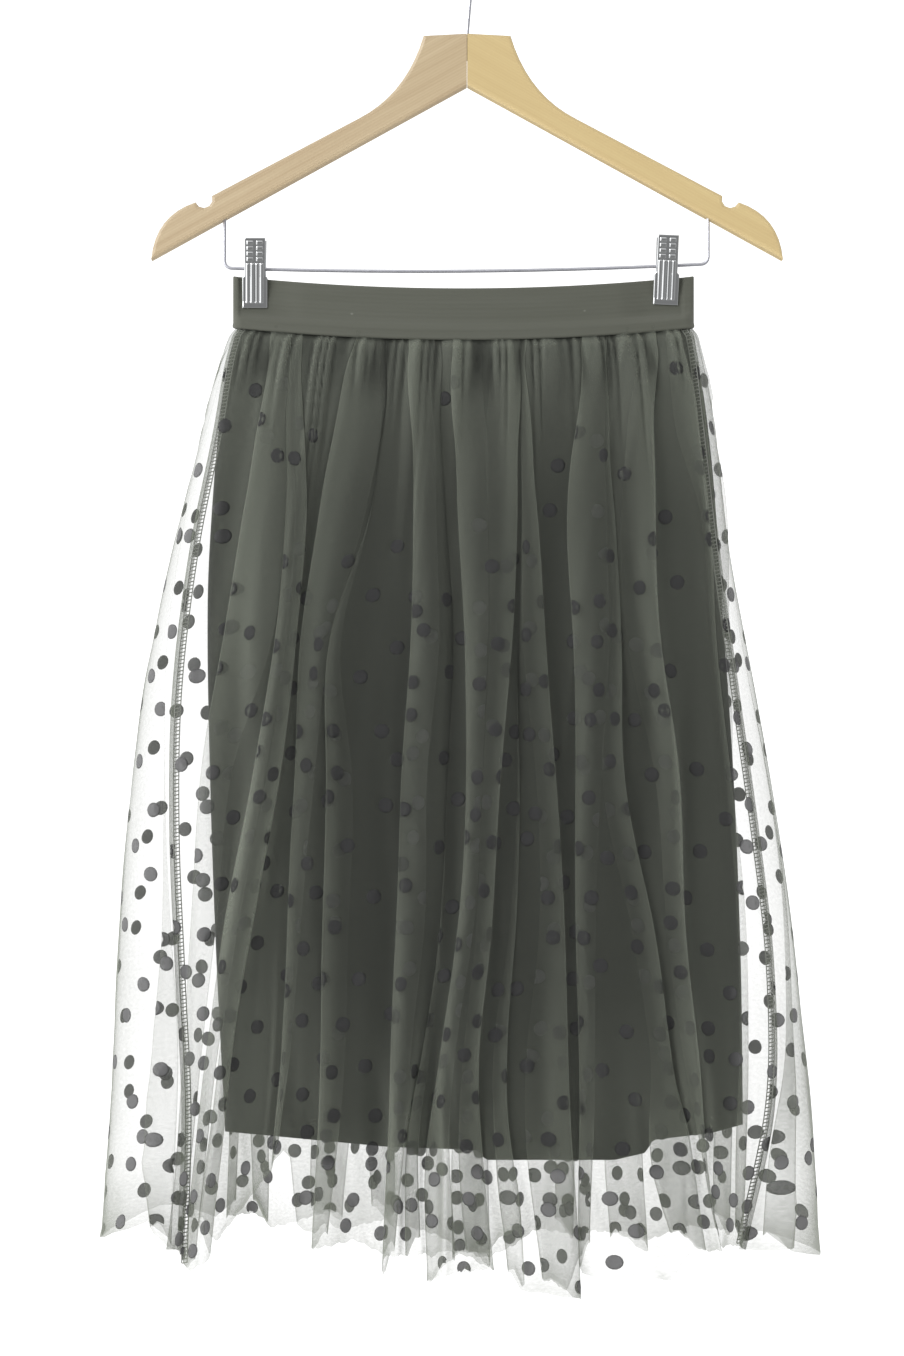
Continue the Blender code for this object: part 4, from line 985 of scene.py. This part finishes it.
def waistband(made_of):
    """The elastic band as a closed wall, with a rolled top edge and a ridge above its lower edge."""
    outside = [(0.0, 0.8), (0.004, 0.3), (0.02, 0.0)]
    outside += [(share, 0.0) for share in np.linspace(0.06, 0.88, 19)]
    ridge = [(0.905, 0.0), (0.93, -0.25), (0.955, -0.4), (0.98, -0.3), (0.997, 0.1), (1.0, 0.6), (0.99, 1.5)]
    inside = [(share, BAND_WALL) for share in np.linspace(0.93, 0.06, 16)] + [(0.012, 1.3)]
    profile = outside + ridge + inside
    rows = np.array([band_row(share, inward) for share, inward in profile])
    across = np.linspace(0, BAND_ROUND, BAND_COLUMNS)
    down = np.array([share for share, _ in profile])[:, None] * BAND_TALL
    return cloth_object("waistband_elastic_strip", rows, across, down, made_of, closed=True)


# Dots, stitches and coils, grown by geometry nodes


def node_tool(name, sizes, vectors="", counts=""):
    """A geometry node group with named inputs, and the sockets that give them."""
    group = bpy.data.node_groups.new(name, "GeometryNodeTree")
    sockets = [("Geometry", "INPUT", "Geometry")]
    for labels, kind in ((sizes, "Float"), (vectors, "Vector"), (counts, "Int")):
        sockets += [(label, "INPUT", kind) for label in labels.split()]
    for label, way, kind in sockets + [("Geometry", "OUTPUT", "Geometry")]:
        group.interface.new_socket(label, in_out=way, socket_type="NodeSocket" + kind)
    return group, add(group, "NodeGroupInput").outputs


def finish_tool(group, geometry, made_of):
    """Ends a node group with plain geometry in its material."""
    real = add(group, "GeometryNodeRealizeInstances", {"Geometry": geometry})
    done = add(group, "GeometryNodeSetMaterial", {"Geometry": real, "Material": made_of})
    add(group, "NodeGroupOutput", {"Geometry": done})
    return group


def grow(name, source, group, values):
    """Runs a node tool on a copy of a piece and keeps the plain mesh it makes."""
    maker = bpy.data.objects.new(name + "_maker", source.data)
    bpy.context.scene.collection.objects.link(maker)
    modifier = maker.modifiers.new("grow", "NODES")
    modifier.node_group = group
    for socket in group.interface.items_tree:
        if socket.in_out == "INPUT" and socket.name in values:
            modifier[socket.identifier] = values[socket.name]
    graph = bpy.context.evaluated_depsgraph_get()
    graph.update()
    mesh = bpy.data.meshes.new_from_object(
        maker.evaluated_get(graph), preserve_all_data_layers=True, depsgraph=graph)
    bpy.data.objects.remove(maker)
    mesh.name = name
    piece = bpy.data.objects.new(name, mesh)
    bpy.context.scene.collection.objects.link(piece)
    return piece


def dot_tool(made_of):
    """Scatters flat lenses over the cloth map in a loose repeat, then bends them on to the net."""
    group, size = node_tool("flocked_dots", "Across Down", "Shift Middle Scatter Lens", "Columns Rows Seed")
    net = add(group, "GeometryNodeMeshGrid", {
        "Size X": size["Across"], "Size Y": size["Down"],
        "Vertices X": size["Columns"], "Vertices Y": size["Rows"]})
    number = add(group, "GeometryNodeInputIndex")
    row = add(group, "ShaderNodeMath", {0: number, 1: size["Rows"]}, operation="MODULO")
    odd = add(group, "ShaderNodeMath", {0: row, 1: 2.0}, operation="MODULO")
    shifted = add(group, "ShaderNodeVectorMath", {
        0: odd, 1: size["Shift"], 2: size["Middle"]}, operation="MULTIPLY_ADD")
    least = add(group, "ShaderNodeVectorMath", {0: size["Scatter"], "Scale": -1.0}, operation="SCALE")
    loose = add(group, "FunctionNodeRandomValue", {
        "Min": least, "Max": size["Scatter"], "Seed": size["Seed"]}, data_type="FLOAT_VECTOR")
    moved = add(group, "ShaderNodeVectorMath", {0: loose, 1: shifted}, operation="ADD")
    placed = add(group, "GeometryNodeSetPosition", {"Geometry": net, "Offset": moved})

    cloth_map = add(group, "GeometryNodeInputNamedAttribute", {"Name": "cloth"}, data_type="FLOAT_VECTOR")
    spot = add(group, "GeometryNodeInputPosition")

    def on_cloth(kind, value):
        """A value of the net, or one of its named attributes, at the spot's place on the cloth map."""
        if isinstance(value, str):
            value = add(group, "GeometryNodeInputNamedAttribute", {"Name": value}, data_type=kind)
        return add(group, "GeometryNodeSampleUVSurface", {
            "Mesh": size["Geometry"], "Value": value, "UV Map": cloth_map, "Sample UV": spot}, data_type=kind)

    chance = add(group, "FunctionNodeRandomValue", {"Seed": size["Seed"]}, data_type="FLOAT")
    lost = add(group, "ShaderNodeMath", {
        0: chance, 1: on_cloth("FLOAT", "keeps_dot")}, operation="GREATER_THAN")
    shown = add(group, "GeometryNodeDeleteGeometry", {"Geometry": placed, "Selection": lost}, domain="POINT")
    stretch = add(group, "ShaderNodeCombineXYZ", {
        0: on_cloth("FLOAT", "spread"), 1: on_cloth("FLOAT", "drawn_up"), 2: 1.0})
    ball = add(group, "GeometryNodeMeshUVSphere", {"Segments": 14, "Rings": 4, "Radius": 1.0})
    lens = add(group, "GeometryNodeTransform", {"Geometry": ball, "Scale": size["Lens"]})
    dots = add(group, "GeometryNodeInstanceOnPoints", {"Points": shown, "Instance": lens, "Scale": stretch})
    real = add(group, "GeometryNodeRealizeInstances", {"Geometry": dots})
    seat = on_cloth("FLOAT_VECTOR", spot)
    outward = on_cloth("FLOAT_VECTOR", add(group, "GeometryNodeInputNormal"))
    height = add(group, "ShaderNodeSeparateXYZ", {0: spot})
    lift = add(group, "ShaderNodeVectorMath", {0: outward, "Scale": height.outputs["Z"]}, operation="SCALE")
    bent_to = add(group, "ShaderNodeVectorMath", {0: seat, 1: lift}, operation="ADD")
    off_cloth = add(group, "FunctionNodeBooleanMath", {0: seat.outputs["Is Valid"]}, operation="NOT")
    kept = add(group, "GeometryNodeDeleteGeometry", {
        "Geometry": real, "Selection": off_cloth}, domain="POINT")
    bent = add(group, "GeometryNodeSetPosition", {"Geometry": kept, "Position": bent_to})
    soft = add(group, "GeometryNodeSetShadeSmooth", {"Geometry": bent})
    return finish_tool(group, soft, made_of)


def dot_sizes(width, length, seed):
    """What the dot tool needs for a panel: rows lie as in a honeycomb, and every other one is shifted."""
    line = DOT_PITCH * math.sqrt(0.75)
    columns, rows = math.ceil(width / DOT_PITCH), math.ceil((length - DOTS_FROM) / line)
    sizes = {
        "Across": (columns - 1) * DOT_PITCH,
        "Down": (rows - 1) * line,
        "Shift": (DOT_PITCH / 2, 0.0, 0.0),
        "Middle": (width / 2 - DOT_PITCH / 4, (length + DOTS_FROM) / 2, 0.0),
        "Scatter": (DOT_SCATTER, DOT_SCATTER, 0.0),
        "Lens": (DOT_RADIUS, DOT_RADIUS, DOT_THICK / 2),
    }
    metres = {label: (np.array(value) * MM).tolist() for label, value in sizes.items()}
    return {**metres, "Columns": columns, "Rows": rows, "Seed": seed}


def stitch_tool(made_of):
    """Overlock stitches along a seam line: rungs across it and a looped thread down each side."""
    group, size = node_tool("overlock_stitches", "Pitch Width Thread")
    line = add(group, "GeometryNodeMeshToCurve", {"Mesh": size["Geometry"]})
    even = add(group, "GeometryNodeResampleCurve", {"Curve": line, "Length": size["Pitch"]}, mode="LENGTH")
    rung = add(group, "GeometryNodeMeshCylinder", {
        "Vertices": 6, "Fill Segments": 1, "Radius": size["Thread"], "Depth": size["Width"]})
    aim = add(group, "FunctionNodeAlignRotationToVector", {"Vector": (1.0, 0.0, 0.22)}, axis="Z")
    rungs = add(group, "GeometryNodeInstanceOnPoints", {"Points": even, "Instance": rung, "Rotation": aim})
    profile = add(group, "GeometryNodeCurvePrimitiveCircle", {"Resolution": 5, "Radius": size["Thread"]})
    joined = add(group, "GeometryNodeJoinGeometry", {"Geometry": rungs})
    for share in (-0.5, 0.5):
        side = add(group, "ShaderNodeMath", {0: size["Width"], 1: share}, operation="MULTIPLY")
        offset = add(group, "ShaderNodeCombineXYZ", {0: side})
        rail = add(group, "GeometryNodeSetPosition", {"Geometry": line, "Offset": offset})
        tube = add(group, "GeometryNodeCurveToMesh", {
            "Curve": rail, "Profile Curve": profile, "Fill Caps": True})
        group.links.new(tube.outputs[0], joined.inputs[0])
    return finish_tool(group, joined, made_of)


def coil_tool(made_of):
    """A close coil of wire about the X axis."""
    group, size = node_tool("torsion_coil", "Radius Length Turns Wire")
    path = add(group, "GeometryNodeCurveSpiral", {
        "Resolution": 20, "Rotations": size["Turns"], "Height": size["Length"],
        "Start Radius": size["Radius"], "End Radius": size["Radius"]})
    half = add(group, "ShaderNodeMath", {0: size["Length"], 1: -0.5}, operation="MULTIPLY")
    centred = add(group, "ShaderNodeCombineXYZ", {0: half})
    laid = add(group, "GeometryNodeTransform", {
        "Geometry": path, "Translation": centred, "Rotation": (0.0, math.pi / 2, 0.0)})
    profile = add(group, "GeometryNodeCurvePrimitiveCircle", {"Resolution": 8, "Radius": size["Wire"]})
    wire = add(group, "GeometryNodeCurveToMesh", {
        "Curve": laid, "Profile Curve": profile, "Fill Caps": True})
    soft = add(group, "GeometryNodeSetShadeSmooth", {"Geometry": wire})
    return finish_tool(group, soft, made_of)


# Clips


def bar_height(x):
    """Height of the clip bar's middle line between its bends."""
    share = (x - BAR_LEFT) / (BAR_RIGHT - BAR_LEFT)
    return BAR_LEFT_Z + (BAR_RIGHT_Z - BAR_LEFT_Z) * share - BAR_SAG * 4 * share * (1 - share)


def jaw_inside(z):
    """How far a jaw's inner face stands from the middle plane at a height above the bar."""
    pressed = BAND_PRESSED + CLIP_GAP
    grip_top = CLIP_BOTTOM + CLIP_GRIP_HEIGHT
    return pressed + (CLIP_SPREAD_AT_TOP - pressed) * max(0.0, z - grip_top) / (CLIP_TOP - grip_top)


def jaw_relief(x, z):
    """Height of the pressed flutes and pads over the plain sheet."""
    low, high = FLUTE_ENDS
    if z <= high:
        fade = rise(z - low, 0, 1.2) * rise(high - z, 0, 0.8)
        away = min(abs(abs(x) - crest) for crest in FLUTE_CRESTS) / FLUTE_HALF_WIDTH
        return CLIP_RELIEF * fade * math.sqrt(max(0.0, 1 - away * away))
    step = (z - PAD_START) % PAD_PITCH
    if not 0 <= z - PAD_START <= PAD_ROWS * PAD_PITCH:
        return 0.0
    near, far = PAD_REACH
    tall = rise(step, 0, PAD_EDGE) * rise(PAD_HEIGHT - step, 0, PAD_EDGE)
    return CLIP_RELIEF * tall * rise(abs(x) - near, 0, PAD_EDGE) * rise(far - abs(x), 0, PAD_EDGE)


def add_lugs(points, faces, toward, lug_at):
    """Adds a jaw's two lugs, as blocks that reach from the jaw to the bar."""
    reach, top = BAR_WIRE / 2 + CLIP_GAP, LUG_HEIGHT / 2
    profile = (
        (jaw_inside(-top) + CLIP_SHEET / 2, -top), (jaw_inside(top) + CLIP_SHEET / 2, top),
        (reach, top / 2), (reach, -top / 2))
    for sign in (-1, 1):
        first = len(points)
        points += [(sign * x, toward * y, z) for x in (lug_at, lug_at + LUG_WALL) for y, z in profile]
        for corners in ((0, 1, 2, 3), (4, 5, 6, 7), (0, 1, 5, 4), (1, 2, 6, 5), (2, 3, 7, 6), (3, 0, 4, 7)):
            faces.append(tuple(first + corner for corner in corners))


def pressed_jaw(side, face, made_of):
    """One pressed clip jaw with round flutes, raised pads and the two lugs that reach the bar."""
    toward = -1 if face == "front" else 1
    rows = np.linspace(CLIP_BOTTOM, CLIP_TOP, JAW_ROWS).tolist()
    points, faces = [], []
    for z in rows:
        half = CLIP_JAW_HALF_WIDTH + (CLIP_HALF_WIDTH - CLIP_JAW_HALF_WIDTH) * rise(z, -6.2, -4.4)
        edge = min(1.0, 0.25 + (z - CLIP_BOTTOM) / 0.8, 0.25 + (CLIP_TOP - z) / 0.8)
        for share in np.linspace(-1, 1, JAW_COLUMNS).tolist():
            x = share * half
            rounded = JAW_ROUNDING * (max(0.0, abs(share) - 0.94) / 0.06 + 1 - edge)
            points.append((x, toward * (jaw_inside(z) + CLIP_SHEET + jaw_relief(x, z) - rounded), z))
        points += [(sign * half, toward * jaw_inside(z), z) for sign in (1, -1)]
    wide = JAW_COLUMNS + 2
    for j in range(JAW_ROWS - 1):
        for i in range(wide):
            k = (i + 1) % wide
            faces.append((j * wide + i, j * wide + k, (j + 1) * wide + k, (j + 1) * wide + i))
    faces += [tuple(range(wide)), tuple(range((JAW_ROWS - 1) * wide, JAW_ROWS * wide))]
    add_lugs(points, faces, toward, LUGS_AT[face])
    lean = Matrix.Rotation(math.radians(CLIP_LEAN[side]), 3, "Y")
    middle = Vector((CLIP_AT[side], 0.0, bar_height(CLIP_AT[side])))
    placed = as_seen([lean @ Vector(point) + middle for point in points])
    jaw = mesh_object("clip_%s_%s_pressed" % (side, face), placed, faces, made_of)
    shell = bmesh.new()
    shell.from_mesh(jaw.data)
    bmesh.ops.recalc_face_normals(shell, faces=shell.faces)
    shell.to_mesh(jaw.data)
    shell.free()
    jaw.data.set_sharp_from_angle(angle=math.radians(50))
    return jaw


def seam_line(name, points):
    """A seam's path as a chain of edges, in millimetres."""
    mesh = bpy.data.meshes.new(name)
    mesh.from_pydata((np.asarray(points) * MM).tolist(), [(i, i + 1) for i in range(len(points) - 1)], [])
    return bpy.data.objects.new(name, mesh)


# Scene


def camera():
    """The camera, straight on to the hanger's plane."""
    seen_by = bpy.data.objects.new("camera", bpy.data.cameras.new("camera"))
    seen_by.location = Vector((CAMERA_X, -CAMERA_BACK, CAMERA_Z)) * MM
    seen_by.rotation_euler = (math.radians(90), 0.0, 0.0)
    seen_by.data.sensor_fit = "VERTICAL"
    seen_by.data.sensor_height = SENSOR_HEIGHT
    seen_by.data.lens = SENSOR_HEIGHT * CAMERA_BACK / VIEW_HEIGHT
    seen_by.data.clip_start = 0.05
    bpy.context.scene.collection.objects.link(seen_by)
    bpy.context.scene.camera = seen_by


def surround():
    """A white ground behind, and for the light a dark room with bright walls, ceiling and floor."""
    world = bpy.data.worlds.new("white_surround")
    bpy.context.scene.world = world
    world.use_nodes = True
    tree = world.node_tree
    tree.nodes.clear()
    seen = add(tree, "ShaderNodeLightPath").outputs
    backdrop = add(tree, "ShaderNodeBackground", {"Color": linear("#ffffff"), "Strength": 1.35})
    direction = add(tree, "ShaderNodeTexCoord").outputs["Generated"]
    towards = add(tree, "ShaderNodeSeparateXYZ", {0: direction}).outputs
    # White walls on the left and right of a darker room, so that edges are lit and metal has contrast.
    wall_left, wall_right, ceiling, bounce = (
        add(tree, "ShaderNodeMapRange", {
            "Value": towards[axis], "From Min": start, "From Max": full, "To Min": dim, "To Max": bright})
        for axis, start, full, dim, bright in (
            ("X", -0.25, -1.0, 0.0, 2.0), ("X", 0.35, 1.0, 0.3, 1.3),
            ("Z", 0.3, 0.9, 0.0, 0.8), ("Z", -0.2, -0.9, 0.0, 0.7)))
    # Metal sees a fifth of the right wall and of the floor, and a little more of the whole room.
    shiny = seen["Is Glossy Ray"]
    screen = add(tree, "ShaderNodeMath", {0: shiny, 1: -0.8, 2: 1.0}, operation="MULTIPLY_ADD")
    screened = add(tree, "ShaderNodeMath", {0: wall_right, 1: screen}, operation="MULTIPLY")
    below = add(tree, "ShaderNodeMath", {0: bounce, 1: screen, 2: screened}, operation="MULTIPLY_ADD")
    sides = add(tree, "ShaderNodeMath", {0: wall_left, 1: below}, operation="ADD")
    walls = add(tree, "ShaderNodeMath", {0: sides, 1: ceiling}, operation="ADD")
    room = add(tree, "ShaderNodeMath", {0: shiny, 1: 0.24, 2: walls}, operation="MULTIPLY_ADD")
    light = add(tree, "ShaderNodeBackground", {"Strength": room})
    both = add(tree, "ShaderNodeMixShader", {0: seen["Is Camera Ray"], 1: light, 2: backdrop})
    add(tree, "ShaderNodeOutputWorld", {"Surface": both})


def lamps():
    """Three soft lamps: the front one shows in the metal, and the lowest lights only the wooden arms."""
    for name, place, aim, size, power in (
        ("front_softbox", (-1.3, -1.6, 0.5), (0.0, 0.0, -0.5), 1.2, 20.4),
        ("right_fill", (1.5, -0.9, -0.3), (0.0, 0.0, -0.5), 1.0, 4.0),
        ("low_fill", (0.0, -0.5, -1.2), (0.0, 0.0, -0.15), 0.8, 5.0),
    ):
        light = bpy.data.lights.new(name, "AREA")
        light.size = size
        light.energy = power
        lamp = bpy.data.objects.new(name, light)
        lamp.location = place
        lamp.rotation_euler = (Vector(aim) - Vector(place)).to_track_quat("-Z", "Y").to_euler()
        lamp.visible_glossy = name == "front_softbox"
        lamp.visible_camera = False
        if name == "low_fill":
            arms = bpy.data.collections.new("lit_from_below")
            for arm in ("hanger_arm_left", "hanger_arm_right"):
                arms.objects.link(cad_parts[arm])
            lamp.light_linking.receiver_collection = arms
        bpy.context.scene.collection.objects.link(lamp)


def floor_below():
    """A pale round floor under the hem, out of the picture."""
    turn = np.linspace(0, 2 * math.pi, FLOOR_SIDES, endpoint=False)
    rim = np.stack([FLOOR_RADIUS * np.cos(turn), FLOOR_RADIUS * np.sin(turn), 0 * turn + FLOOR_Z], axis=-1)
    paint = material("matt_white_floor", lambda tree: add(tree, "ShaderNodeBsdfPrincipled", {
        "Base Color": linear("#f2f1ee"), "Roughness": 0.8}))
    floor = mesh_object("floor", rim, [tuple(range(FLOOR_SIDES))], paint)
    floor.visible_glossy = False


def dress(piece, slot, *nodes):
    """Hides the CAD nodes that a finished piece stands for, and puts the piece on the one body that all ride
    on. Its slot is not used.
    """
    if nodes:
        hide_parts(*nodes)
    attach(piece, "root")


def net():
    """Both net panels with their dots, and the overlocked seams on the front one."""
    nylon = material("nylon_tulle", tulle)
    stitches = stitch_tool(material("overlock_thread", spun_thread))
    for number, side in enumerate(("front", "back")):
        dots = dot_tool(material("nylon_flock_" + side, flock, side))
        panel, width, length, crumpled_length, grid = net_panel(side, nylon)
        seams = {"left": 0, "right": -1} if side == "front" else {}
        on_net = [grow("net_dots_" + side, panel, dots, dot_sizes(width, crumpled_length, DOT_SEED + number))]
        for name, column in seams.items():
            line = seam_line("seam_" + name, grid[2:-1, column])
            on_net.append(grow("overlock_" + name, line, stitches, {
                "Pitch": STITCH_PITCH * MM, "Width": STITCH_WIDTH * MM, "Thread": STITCH_THREAD * MM}))
        dress(panel, "dotted_net", "tulle_" + side)
        for piece in on_net:
            dress(piece, "dotted_net")


def band_and_lining():
    """The waistband, and both lining panels that hang inside the net."""
    band = waistband(material("woven_elastic", elastic))
    dress(band, "waistband_elastic", "waistband")
    polyester = material("polyester_knit", knit)
    for side in ("front", "back"):
        panel = lining_panel(side, polyester)
        dress(panel, "lining_knit", "lining_" + side)


def clips():
    """Both spring clips: two pressed jaws and a coil of wire on the bar."""
    chrome = material("chromed_sheet", plated_steel, "#dcdedf", 0.1, 3.3333)
    coils = coil_tool(material("spring_wire", plated_steel, "#a7a7a9", 0.3, 1.1111))
    for side, middle in CLIP_AT.items():
        for face in ("front", "back"):
            dress(pressed_jaw(side, face, chrome), "clip_chrome", "clip_%s_%s" % (side, face))
        start = bpy.data.objects.new("coil_start", bpy.data.meshes.new("coil_start"))
        coil = grow("clip_%s_turns" % side, start, coils, {
            "Radius": COIL_RADIUS * MM, "Length": COIL_LENGTH * MM, "Wire": COIL_WIRE * MM,
            "Turns": COIL_TURNS})
        coil.data.transform(Matrix.Translation(Vector((middle, 0.0, bar_height(middle))) * MM))
        dress(coil, "spring_steel", "clip_%s_coil" % side)


def hanger():
    """Better finishes for the hanger's own nodes."""
    wire = material("nickel_plated_wire", plated_steel, "#cfd0d8", 0.42, 2.5, 0.82)
    finishes = {
        "hanger_arm_left": material("varnished_beech_left", beech, "#c8b797", "#a48d6d", ARM_SLOPE),
        "hanger_arm_right": material("varnished_beech_right", beech, "#cfbb89", "#bca374", -ARM_SLOPE),
        "hook": wire,
        "clip_bar": wire,
    }
    for name, finish in finishes.items():
        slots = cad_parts[name].data.materials
        slots.clear()
        slots.append(finish)


bpy.context.scene.view_settings.view_transform = "Standard"
bpy.context.scene.view_settings.look = "None"
bpy.context.scene.cycles.transparent_max_bounces = 40
for part in (camera, surround, lamps, floor_below, net, band_and_lining, clips, hanger):
    part()
